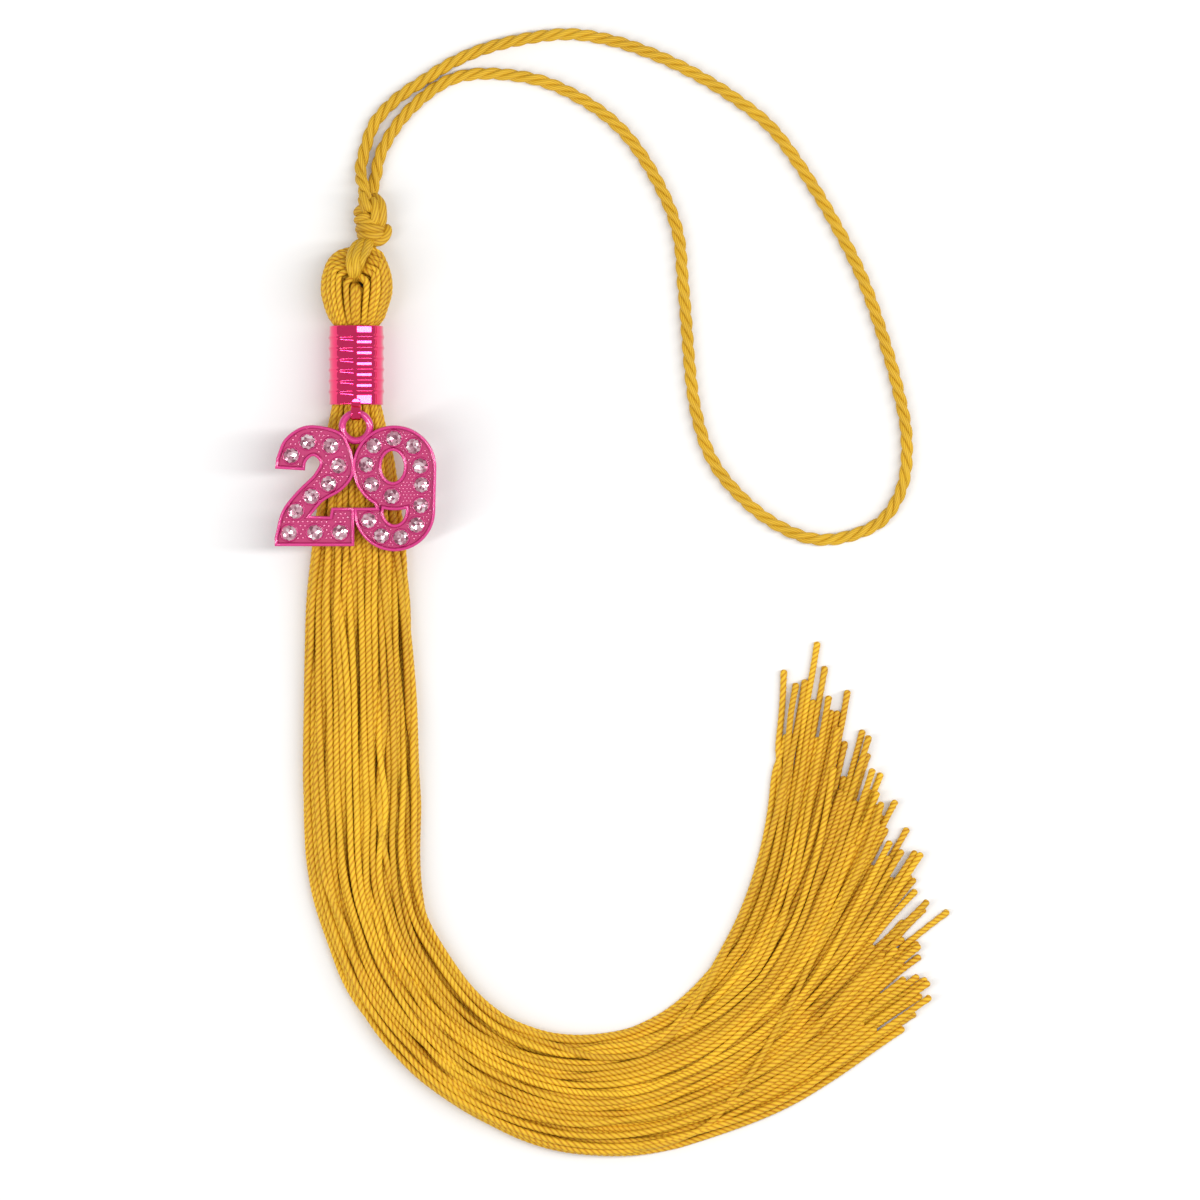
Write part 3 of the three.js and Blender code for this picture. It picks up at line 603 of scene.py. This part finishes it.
for number in range(RELAX_ROUNDS):
    settle = 1 - number / RELAX_ROUNDS
    spot += HOMING * settle * (goal - spot)
    spot[..., 1] -= SKIRT_SAG
    spot += PUSH * apart(spot[:, None] - spot[None], (2 * packed).astype(np.float32))
    spot[..., 0] /= width
    even_out(spot, 0.12 + 0.2 * settle)
    spot[..., 0] *= width
    sideways = (spot[..., 0] - width / 2) / (width / 2 - packed)
    upwards = (spot[..., 1] - heap_middle) / (rise - packed)
    outside = np.maximum(1, np.hypot(sideways, upwards))
    spot[..., 0] = width / 2 + sideways / outside * (width / 2 - packed)
    spot[..., 1] = np.maximum(1.1 * packed, heap_middle + upwards / outside * (rise - packed))
even_out(spot, 0.3, 5)
across = (spot[..., 0] / width)[..., None]
threads = np.concatenate([outer + across * (inner - outer), spot[..., 1:]], -1)

# The fringe: the last stretch of the same threads, which were cut off freely. Past the last section they fan
# out, each one on a curve of its own to its cut end, and the shorter ones stop on the way there.
TIPS = [  # where the longest threads end, from the inner edge round to the outer one
    (75.4, -46.7), (76.5, -48.9), (78.2, -48.4), (80.4, -41.8), (81.4, -46.0), (82.1, -51.2), (83.1, -53.8),
    (84.5, -54.0), (85.9, -50.3), (85.6, -59.3), (84.5, -65.2), (88.2, -57.2), (89.3, -58.2), (89.7, -61.5),
    (90.0, -64.0), (90.8, -64.5), (90.7, -68.0), (93.1, -69.1), (91.4, -70.5), (92.8, -74.6), (95.9, -74.3),
    (93.3, -76.8), (95.1, -78.2), (97.2, -78.2), (98.7, -78.9), (96.4, -82.4), (97.3, -83.2), (97.8, -85.5),
    (99.4, -86.9), (99.5, -89.0), (102.8, -88.4), (97.3, -93.7), (98.0, -94.8), (98.3, -96.9),
    (95.4, -100.4), (97.7, -100.0), (99.1, -100.4), (100.1, -101.8), (99.6, -103.2), (97.1, -106.4),
    (95.1, -109.0),
]
TIP_COMPASS = ([0, 3, 10, 20, 25, 30, 40], [90, 78, 76, 64, 50, 36, 29])  # where they point, by number
TIP_SHORTER = (2.5, 15.0)
TIP_SHUFFLE = 1.6
FAN_STATIONS = 34
FAN_ROUNDS = 70
FAN_TOP = (5.2, 3.0)  # height of the heap where the fringe starts and where it ends
FAN_SAG = 0.02
LEAD_IN = 3  # last stations of the skirt, from which it starts
JOIN = 9  # stations each way that are evened out there
SKIRT_PIECES = 6
SKIRT_LAYS = (0.82, 1.2)  # some threads are twisted more tightly
SKIRT_TONES = ((0.3, 1), (0.25, 0.7))  # on top and below: the tones differ at random, and the threads below get lower, darker and redder ones as painted shade

extra = np.sort(rng.uniform(0, len(TIPS) - 1.001, SKIRT_THREADS - len(TIPS)))
rank = np.concatenate([np.arange(len(TIPS)), extra])
tips = np.column_stack([np.interp(rank, np.arange(len(TIPS)), column) for column in np.array(TIPS).T])
shorter = np.concatenate([np.zeros(len(TIPS)), rng.uniform(*TIP_SHORTER, len(extra))])
compass = np.radians(np.interp(rank, *TIP_COMPASS) + rng.uniform(-3, 3, len(rank)))
shuffled = rank + rng.uniform(-TIP_SHUFFLE, TIP_SHUFFLE, SKIRT_THREADS)
matched = np.empty(SKIRT_THREADS, int)
matched[np.argsort(-across[:, -1, 0])] = np.argsort(shuffled)
tips, shorter, compass = tips[matched], shorter[matched], compass[matched]

start = threads[:, -1]
end = np.column_stack([tips, THREAD_RADIUS + 0.25 * (start[:, 2] - THREAD_RADIUS)])
reach = np.linalg.norm(end - start, axis=1)[:, None]
leave = reach * unit(start - threads[:, -LEAD_IN - 1])
arrive = reach * np.column_stack([np.cos(compass), np.sin(compass), 0 * compass])
t = np.linspace(0, 1, FAN_STATIONS + 1)[1:, None, None]
fan = bend(t, start, leave, end, arrive).transpose(1, 0, 2)
fan = np.concatenate([threads[:, -LEAD_IN:], fan], 1)
numbers = np.arange(LEAD_IN + FAN_STATIONS)
highest = np.interp(numbers, [LEAD_IN, numbers[-1]], FAN_TOP) - THREAD_RADIUS
freed = np.clip((numbers[:, None] - LEAD_IN + 1) / 7, 0, 1)
for _ in range(FAN_ROUNDS):
    along = unit(np.gradient(fan, axis=1))
    offsets = fan[:, None] - fan[None]
    offsets -= (offsets * along[:, None]).sum(-1, keepdims=True) * along[:, None]
    moved = PUSH * apart(offsets, 2 * THREAD_RADIUS) * (0.5, 0.5, 1) - (0, 0, FAN_SAG)
    fan += moved * freed
    even_out(fan[:, LEAD_IN - 1 :], 0.2)
    fan[:, LEAD_IN:, 2] = np.clip(fan[:, LEAD_IN:, 2], 1.2 * THREAD_RADIUS, highest[LEAD_IN:])
threads = np.concatenate([threads, fan[:, LEAD_IN:]], 1)
even_out(threads[:, -FAN_STATIONS - JOIN : -FAN_STATIONS + JOIN], 0.3, 25)
thickness = PLUMP * np.concatenate([packed, np.linspace(packed[-1], THREAD_RADIUS, FAN_STATIONS)])

beside = np.abs(spot[:, None, :, 0] - spot[None, :, :, 0]) < packed
covered = (beside & (spot[:, None, :, 1] < spot[None, :, :, 1])).any(1).mean(1)
showing = np.argsort(covered)
for number in range(SKIRT_PIECES):
    places = range(number, SKIRT_THREADS, SKIRT_PIECES)
    skirt, lays = [], []
    for place in places:
        thread = showing[place]
        run = lengths(threads[thread])
        kept = np.searchsorted(run, run[-1] - shorter[thread]) + 1
        route = plan(threads[thread, :kept])
        lays.append(rng.uniform(*SKIRT_LAYS))
        fineness = FINE if place < SHOWING else COARSE
        turned = rng.uniform(0, ANY_TURN)
        skirt.append(yarn(route, MILLI * thickness[:kept], turned, fineness, True, lays[-1]))
    # The threads below get darker tones: painted shade under the threads on top.
    tones = [rng.uniform(*SKIRT_TONES[place >= SHOWING]) for place in places]
    piece(f"skirt_yarn_{number + 1}", skirt, yarn_finish, "tassel", tones=tones, lays=lays)

# The stray: one thread of the same yarn that has worked itself out of the bundle's outer side. Nothing holds
# it there, and it lies across the top of the others.
STRAY_ROUTE = [
    (44.0, -129.5), (50.0, -129.8), (56.0, -128.4), (61.3, -125.8), (65.5, -121.2), (69.2, -116.2),
    (74.9, -106.1), (81.5, -93.0), (86.8, -83.0), (91.0, -72.0), (91.6, -69.8),
]
STRAY_NEAR = 1.3  # it rests on threads that pass this near
STRAY_LIFT = 1.7  # over their middles, in radii
STRAY_RISE = 8  # steps in which it comes up from the bundle's side
stray = smooth(STRAY_ROUTE, step=1.0)
under = threads[:, ::2].reshape(-1, 3)
near = np.linalg.norm(stray[:, None] - under[None, :, :2], axis=2) < STRAY_NEAR
height = np.where(near, under[:, 2], 0).max(1) + STRAY_LIFT * THREAD_RADIUS
height[:STRAY_RISE] = np.linspace(1.5, height[STRAY_RISE], STRAY_RISE)
even_out(height[None], 0.3, 12)
stray = yarn(plan(np.column_stack([stray, height])), THREAD_RADIUS * MILLI, 0.0, cut=True)
piece("stray_thread", [stray], yarn_finish, "tassel")

# The band: a ferrule rolled from thin sheet, plated bright pink and crimped round the neck of the yarn. Six
# rounded ribs are rolled into it, a hair askew, and its two edges meet in a seam underneath.
BAND_LENGTH = 13.8
BAND_RADIUS = 4.71
BAND_WALL = 0.41
BAND_CENTRE = (-0.2, 0, 4.9)
LIP = 0.1
RIB_COUNT = 6
RIB_FIRST = 2.35
RIB_PITCH = 1.89
RIB_HEIGHT = 0.19
RIB_SPREAD = 0.36
RIB_SLANT = 0.012
SEAM_DEPTH = 0.1
SEAM_SPREAD = 0.025  # in radians
BAND_SIDES = 112
BAND_ROWS = 180


def turn_outwards(mesh):
    """Turns every face of a closed mesh outwards."""
    work = bmesh.new()
    work.from_mesh(mesh)
    bmesh.ops.recalc_face_normals(work, faces=work.faces)
    work.to_mesh(mesh)
    work.free()


def loft(name, rows, finish, body, replaced=(), closed=True, tones=None):
    """A mesh through rows of points, or one through each of several such sets. Each row closes on itself, and
    the rows close on each other or get caps."""
    grid = np.arange(rows.size // 3).reshape(rows.shape[:-1])
    if closed:
        faces = quads(np.concatenate([grid, grid[..., :1, :]], -2)).tolist()
    else:
        faces = quads(grid).tolist() + np.vstack([grid[..., 0, ::-1], grid[..., -1, :]]).tolist()
    if tones is not None:
        tones = np.broadcast_to(tones, grid.shape).ravel()
    mesh = form(name, rows.reshape(-1, 3), faces, tones)
    mesh.shade_smooth()
    turn_outwards(mesh)
    return stand(name, mesh, finish, body, replaced)


def bright_metal(name, colour, roughness, dent):
    """Plated metal: bright, with the faint waviness and the fine rubbing that handling leaves on it."""
    flow = material(name)
    waves = flow.noise(420.0, 1.0)
    rubbing = flow.noise(2600.0, 3.0)
    deeper = tuple(0.86 * channel for channel in colour)
    colour = flow.mix(waves, (*deeper, 1), (*colour, 1))
    roughness = roughness + 0.06 * rubbing
    relief = waves + 0.04 * rubbing
    return flow.surface(colour, roughness, relief, dent, Metallic=1.0, Coat_Weight=0.8, Coat_Roughness=0.03)


plated_finish = bright_metal("pink_plating", (0.92, 0.012, 0.15), roughness=0.02, dent=0.012)

along = np.linspace(0, BAND_LENGTH, BAND_ROWS)
lip_inside = [(BAND_WALL, LIP), (BAND_WALL - LIP / 3, LIP / 3), (BAND_WALL - LIP, 0)]
lip_depth, lip_along = np.array(lip_inside + [(LIP, 0), (LIP / 3, LIP / 3)]).T
depths = np.concatenate([lip_depth, 0 * along[2:-2], lip_depth[::-1]])[:, None]
stands = np.concatenate([lip_along, along[2:-2], BAND_LENGTH - lip_along[::-1]])
around = math.tau * np.arange(BAND_SIDES) / BAND_SIDES
from_rib = stands[:, None, None] - RIB_SLANT * BAND_RADIUS * np.cos(around)[:, None]
from_rib = from_rib - (RIB_FIRST + RIB_PITCH * np.arange(RIB_COUNT))
ribs = RIB_HEIGHT * np.exp(-((from_rib / RIB_SPREAD) ** 2)).sum(-1)
seam = SEAM_DEPTH * np.exp(-(((around - 1.5 * math.pi) / SEAM_SPREAD) ** 2))
reach = BAND_RADIUS - depths + (ribs - seam) * (depths < LIP)
rows = np.stack([reach * np.cos(around), np.tile(stands[:, None], BAND_SIDES), reach * np.sin(around)], -1)
loft("ribbed_band", plan(rows + BAND_CENTRE), plated_finish, "tassel", ["band"])

# The hook: a narrow strip of the same plated sheet. It comes out over the band's lower edge, goes round the
# wire of the charm's ring, and is pressed closed underneath.
HINGE = np.array([-0.1, -1.5, 10.15])
STRIP_THICKNESS = 0.3
STRIP_HALF_WIDTH = 0.84
STRIP_CORNERS = 20
STRIP_SQUARENESS = (0.5, 0.62)  # across and through: 1 is round, and 0 is square
EYE_RADIUS = 1.15
LAP_ROUNDING = 0.9
LAP_LENGTH = 2.1
LAP_LEAN = 0.33  # the end on the band is pressed down further on its right side
STRIP_ROUTE = [(2.55, -0.11), (2.1, -0.11), (1.72, -0.09)]  # over the band's edge: along, up from the hinge
round_eye = np.radians(np.arange(14, 342, 8))
eye = np.column_stack([np.cos(round_eye), np.sin(round_eye)]) * EYE_RADIUS
strip = smooth(STRIP_ROUTE + eye.tolist(), step=0.14)
strip_way = unit(np.gradient(strip, axis=0))
strip_out = np.column_stack([-strip_way[:, 1], strip_way[:, 0]])
corner = math.tau * (np.arange(STRIP_CORNERS) + 0.5) / STRIP_CORNERS
section = np.column_stack([np.cos(corner), np.sin(corner)])
section = np.sign(section) * np.abs(section) ** STRIP_SQUARENESS
from_end = np.minimum(1, lengths(strip) / LAP_ROUNDING)[:, None]
half_width = STRIP_HALF_WIDTH * (0.55 + 0.45 * np.sqrt(1 - (1 - from_end) ** 2))
rows = np.empty((len(strip), len(section), 3))
rows[..., 0] = half_width * section[:, 0]
lean = LAP_LEAN * np.clip(LAP_LENGTH - lengths(strip), 0, 1)[:, None] * rows[..., 0]
rows[..., 1:] = strip[:, None] + (STRIP_THICKNESS / 2 * section[:, 1] + lean)[..., None] * strip_out[:, None]
loft("hook_strip", plan(rows + HINGE), plated_finish, "tassel", ["charm_hook"], closed=False)

# The charm: a two and a nine cast in one piece of zinc and enamelled pink. A smooth rim stands round every
# edge, the sunk field between is covered with small pips, and a ring is cast on where the figures meet.
CHARM_TILT = math.radians(4)
FIELD = 0.4  # height of the sunk field over the middle of the charm's thickness
RIM_SECTION = [  # in from the edge, and up from the middle of the thickness
    (0.3, -1.1), (0.14, -1.1), (0.04, -1.06), (0.0, -0.96), (0.0, 0.84), (0.03, 0.97), (0.1, 1.06),
    (0.2, 1.1), (0.34, 1.1), (0.45, 1.05), (0.53, 0.92), (0.56, 0.7), (0.58, 0.5), (0.65, 0.4), (0.76, 0.4),
]
RIM_ROWS = 11  # of its points, in the rim's colour
SHARP_EDGE = math.radians(50)
OUTLINE_STEP = 0.42
CORNER_KEPT = 0.85  # no point of a curve lies nearer to a corner than this
TWO = [
    [(-14.2, -11.2)], [(-9.0, -11.5)], [(-8.7, -9.9), (-7.5, -9.0), (-6.4, -10.1), (-7.6, -12.4)],
    [(-10.5, -15.2), (-13.0, -18.5), (-14.3, -23.2)], [(-14.3, -24.7)], [(-0.4, -24.7)], [(-0.4, -17.95)],
    [(-4.4, -17.95)], [(-4.7, -19.5)], [(-8.0, -19.4)],
    [(-5.8, -16.9), (-2.6, -15.0), (-0.7, -12.7), (-0.4, -10.5), (-0.8, -8.0)],
    [(-2.4, -5.1), (-5.8, -3.8), (-9.3, -3.8), (-12.6, -6.1), (-14.0, -9.4)],
]
NINE_X = 6.6
BOWL = (-10.95, 7.3, 7.3)  # the height of its middle, and half its size each way
TAIL = (-18.5, 7.1, 7.1)
CRESCENT = (-18.4, 1.95, 2.5)
NINE_HOLE = (6.3, -10.8, 1.95, 2.7)
RING_MIDDLE = (-0.1, -3.93)
RING_RADIUS = 2.4
RING_WIRE = 0.63
RING_SIDES = 72
WIRE_SIDES = 16
PIPS = ((0.82, 0.25), (0.63, 0.2))  # spacing and radius, on the two and on the nine
PIP_PROFILE = [(1.0, -0.1), (0.93, 0.45), (0.66, 0.85), (0.24, 1.05)]
# From a pip's foot to its top: the foot takes the field's darker colour as painted shade, and the top a pale
# painted highlight.
PIP_TONES = [[0.0], [0.3], [1.2], [2.0]]
PIP_SIDES = 8
PIP_ROWS = 0.87  # from one row to the next, in spacings
PIP_STRAY = 0.06
PIP_CLEAR = 0.64  # from the charm's edge to the nearest pip
FIGURE_SIZE = 30.0
STONE_RADIUS = 1.35
SEAT_WIDTH = 0.22
STONE_PLACES = [
    (-11.4, -8.9), (-8.5, -6.5), (-4.5, -7.2), (-3.1, -10.7), (-4.9, -13.8), (-7.9, -16.0), (-10.6, -18.6),
    (-11.8, -22.4), (-7.3, -22.3), (-2.9, -22.3), (3.0, -7.2), (6.5, -5.9), (9.9, -7.3), (1.7, -10.5),
    (11.1, -10.7), (2.6, -13.95), (6.1, -16.0), (11.3, -14.0), (11.2, -17.6), (2.1, -20.2), (10.4, -21.0),
    (4.25, -22.9), (7.7, -23.2),
]


def arc(x, y, across, up, start, stop):
    """Points on an arc, angles in degrees."""
    steps = max(4, round(math.radians(abs(stop - start)) * max(across, up) / OUTLINE_STEP))
    angles = np.radians(np.linspace(start, stop, steps + 1))
    return np.column_stack([x + across * np.cos(angles), y + up * np.sin(angles)])


def outline(runs):
    """A closed outline of straight and curved runs, each from where the last one ends."""
    points = []
    for last, run in zip([runs[-1]] + runs, runs):
        run = np.array(last[-1:] + run)
        if len(run) > 2:
            fine = smooth(run, OUTLINE_STEP)
            from_corner = np.minimum(lengths(fine), lengths(fine)[-1] - lengths(fine))
            run = np.vstack([fine[:1], fine[from_corner > CORNER_KEPT], fine[-1:]])
        points.append(run[:-1])
    return np.vstack(points)


def inset(points, distance):
    """The outline moved in by a distance, to the left of the way that its points go."""
    before = unit(points - np.roll(points, 1, 0))
    after = np.roll(before, -1, 0)
    inwards = unit(np.column_stack([-before[:, 1] - after[:, 1], before[:, 0] + after[:, 0]]))
    mitre = np.maximum(0.5, inwards[:, 1] * before[:, 0] - inwards[:, 0] * before[:, 1])
    return points + distance * inwards / mitre[:, None]


def hang(points):
    """Places in the charm's own plane, in the frame's metres."""
    x, y, z = np.moveaxis(np.asarray(points, float) - (HINGE[0], HINGE[1], 0), -1, 0)
    cosine, sine = math.cos(CHARM_TILT), math.sin(CHARM_TILT)
    return plan(np.stack([x, y * cosine - z * sine, y * sine + z * cosine], -1) + HINGE)


def figure(name, edges):
    """A figure, from its outline and the outlines of its holes, which go round the other way."""
    points, faces, tones = [], [], []
    start = 0
    caps = {0: [], len(RIM_SECTION) - 1: []}
    for edge in edges:
        grid = start + np.arange(len(RIM_SECTION) * len(edge)).reshape(-1, len(edge))
        faces += quads(grid).tolist()
        for row, (inwards, height) in enumerate(RIM_SECTION):
            points.append(np.column_stack([inset(edge, inwards), np.full(len(edge), height)]))
            # The rim's rows take the rim's colour. The field's rows take a darker colour, which is painted
            # shade in the sunk field.
            tones.append(np.full(len(edge), float(row < RIM_ROWS)))
            if row in caps:
                caps[row].append((grid[row], points[-1]))
        start += grid.size
    for cap in caps.values():
        numbers = np.concatenate([ids for ids, _ in cap])
        for triangle in tessellate_polygon([[Vector(p) for p in flat] for _, flat in cap]):
            faces.append([int(numbers[k]) for k in triangle])
    mesh = form(name, hang(np.vstack(points)), faces, np.concatenate(tones))
    mesh.shade_smooth()
    turn_outwards(mesh)
    mesh.set_sharp_from_angle(angle=SHARP_EDGE)
    return mesh


def enamel(name, field, rim, pip_top_highlight):
    """Stove enamel, glossy and a little uneven, with painted shade in the sunk field and painted highlights
    on the pip tops.
    """
    flow = material(name)
    uneven = flow.noise(500.0, 2.0)
    grain = flow.noise(3000.0, 2.0)
    height = flow.tone()
    # The field's darker colour is painted shade, and the pale third colour on the pip tops is a painted
    # highlight.
    colour = flow.mix((0.75 * height + 0.25 * uneven).clamped(), (*field, 1), (*rim, 1))
    colour = flow.mix((height - 1.0).clamped(), colour, (*pip_top_highlight, 1))
    roughness = 0.26 + 0.12 * grain
    relief = uneven + 0.15 * grain
    return flow.surface(colour, roughness, relief, 0.035, Metallic=0.25, Coat_Weight=1.0, Coat_Roughness=0.06)


# The field colour carries painted shade, and the last colour is a painted highlight for the pip tops.
enamel_finish = enamel("pink_enamel", (0.42, 0.006, 0.108), (0.61, 0.018, 0.205), (0.95, 0.32, 0.50))

two = outline(TWO)
tail = arc(NINE_X, *TAIL, 180, 360)[2:]
bowl = arc(NINE_X, *BOWL, 0, 244)
foot = np.array([(3.3, -17.95), (NINE_X - TAIL[1], -17.95)])
nine = np.vstack([tail, bowl[:-1], foot])
nine_hole = arc(*NINE_HOLE, 360, 0)[:-1]
under = arc(NINE_X, *CRESCENT, 360, 180)
over = arc(NINE_X, BOWL[0], BOWL[1] + 0.2, BOWL[1] + 0.2, 256, 285)
figures = {"two": [two], "nine": [nine, nine_hole, np.vstack([under[1:-1], over])]}
for name, edges in figures.items():
    replaced = ["charm"] if name == "two" else []
    stand(f"charm_{name}", figure(name, edges), enamel_finish, "charm", replaced)


def spin(profile, sides):
    """Rows of points: each reach and height of a profile, turned round an upright axis."""
    reach, height = np.array(profile).T[..., None]
    angles = math.tau * np.arange(sides) / sides
    return np.stack([reach * np.cos(angles), reach * np.sin(angles), np.tile(height, sides)], -1)


def on_field(shape, places):
    """Copies of a shape that stand on the charm's field at some places."""
    centres = np.column_stack([places, np.full(len(places), FIELD)])
    return hang(shape + centres[:, None, None])


wire = math.tau * np.arange(WIRE_SIDES) / WIRE_SIDES
ring = spin(np.column_stack([RING_RADIUS + RING_WIRE * np.cos(wire), RING_WIRE * np.sin(wire)]), RING_SIDES)
loft("charm_ring", hang(ring + (*RING_MIDDLE, 0)), enamel_finish, "charm", tones=1.0)


def inside(places, edge):
    """Which places lie inside a closed outline."""
    x, y = places[:, :1], places[:, 1:]
    x0, y0 = edge.T
    x1, y1 = np.roll(edge, -1, 0).T
    crosses = (y0 > y) != (y1 > y)
    with np.errstate(divide="ignore", invalid="ignore"):
        return (crosses & (x < x0 + (y - y0) * (x1 - x0) / (y1 - y0))).sum(1) % 2 == 1


pips = []
for (spacing, radius), (edge, *holes) in zip(PIPS, figures.values()):
    steps = np.arange(0, FIGURE_SIZE / spacing)
    row, column = np.meshgrid(steps, steps, indexing="ij")
    places = np.column_stack([(column + 0.5 * (row % 2)).ravel(), PIP_ROWS * row.ravel()])
    places = places * spacing + edge.min(0)
    places += rng.uniform(-PIP_STRAY, PIP_STRAY, places.shape) * spacing
    kept = inside(places, inset(edge, PIP_CLEAR + radius))
    for hole in holes:
        kept &= ~inside(places, inset(hole, PIP_CLEAR + radius))
    gap = np.linalg.norm(places[:, None] - np.array(STONE_PLACES), axis=2).min(1)
    kept &= gap > STONE_RADIUS + SEAT_WIDTH + radius
    pips.append(on_field(radius * spin(PIP_PROFILE, PIP_SIDES), places[kept]))
pips = np.concatenate(pips)
loft("charm_pips", pips, enamel_finish, "charm", closed=False, tones=PIP_TONES)

# The stones: round faceted glass with a foiled back, pressed into low seats that are cast in the field. Each
# one sits a little differently, so its facets catch the light in their own way.
SEAT_PROFILE = [(1.62, -0.05), (1.56, 0.2), (1.46, 0.33), (1.36, 0.33), (1.3, 0.2), (1.3, -0.05)]
SEAT_SIDES = 36
FACETS = 8
SIDES = 2 * FACETS  # of the girdle
CROWN = [  # radius, height, share of a step turned on, and corners
    (1.0, 0.0, 0.0, SIDES), (1.0, 0.13, 0.0, SIDES), (0.78, 0.42, 0.5, FACETS), (0.52, 0.56, 0.0, FACETS),
]
GIRDLE_HEIGHT = 0.3  # above the field
TABLE_HOLLOW = 0.06
BACK_HEIGHT = 0.02
STONE_LEAN = 0.07
STONE_REFLECTION_TONES = (0.42, 0.32)  # mean and spread of the facets' painted reflections

seats = on_field(spin(SEAT_PROFILE, SEAT_SIDES), STONE_PLACES)
loft("stone_seats", seats, enamel_finish, "charm", tones=0.8)


def foiled_glass(name, dark, middle, light):
    """Foiled glass, whose facets are painted dark, middling or bright at random, as painted reflections of
    what each might mirror.
    """
    flow = material(name)
    tone = flow.tone()
    low = flow.mix((2.0 * tone).clamped(), (*dark, 1), (*middle, 1))
    flaws = flow.noise(1800.0, 2.0)
    colour = flow.mix((2.0 * tone - 1.0).clamped(), low, (*light, 1))
    roughness = 0.07 + 0.06 * flaws
    return flow.surface(colour, roughness, flaws, 0.003, Metallic=0.7, Coat_Weight=1.0, Coat_Roughness=0.02)


stone_finish = foiled_glass("pale_pink_stone", (0.26, 0.07, 0.12), (0.70, 0.35, 0.44), (1.0, 0.84, 0.88))

points, faces = [], []
for x, y in STONE_PLACES:
    girdle = len(points)
    shoulder, bezel, top = girdle + SIDES, girdle + 2 * SIDES, girdle + 2 * SIDES + FACETS
    hub, back = top + FACETS, top + FACETS + 1
    turned = math.radians(rng.uniform(0, 45))
    lean_x, lean_y = rng.uniform(-STONE_LEAN, STONE_LEAN, 2)
    for radius, height, on, corners in CROWN:
        for k in range(corners):
            angle = turned + math.tau * (k + on) / corners
            off_x, off_y = STONE_RADIUS * radius * math.cos(angle), STONE_RADIUS * radius * math.sin(angle)
            lifted = FIELD + GIRDLE_HEIGHT + height + lean_x * off_x + lean_y * off_y
            points.append((x + off_x, y + off_y, lifted))
    points.append((x, y, FIELD + GIRDLE_HEIGHT + CROWN[-1][1] - TABLE_HOLLOW))
    points.append((x, y, FIELD + BACK_HEIGHT))
    for k in range(SIDES):
        after = (k + 1) % SIDES
        faces.append((girdle + k, girdle + after, shoulder + after, shoulder + k))
        faces.append((girdle + after, girdle + k, back))
    for k in range(FACETS):
        after, before = (k + 1) % FACETS, (k - 1) % FACETS
        faces.append((shoulder + 2 * k, shoulder + 2 * k + 1, bezel + k))
        faces.append((shoulder + 2 * k + 1, shoulder + (2 * k + 2) % SIDES, bezel + k))
        faces.append((shoulder + 2 * k, bezel + k, top + k, bezel + before))
        faces.append((top + k, bezel + k, top + after))
        faces.append((top + k, top + after, hub))
# Each facet gets a random tone, which is a painted reflection: dark, middling or bright.
stone_reflection_tones = np.clip(rng.normal(*STONE_REFLECTION_TONES, len(faces)), 0, 1)
glass = form("stones", hang(points), faces, stone_reflection_tones, "FACE")
turn_outwards(glass)
stone_nodes = [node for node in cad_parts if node.startswith("stone_")]
stand("stones", glass, stone_finish, "charm", stone_nodes)
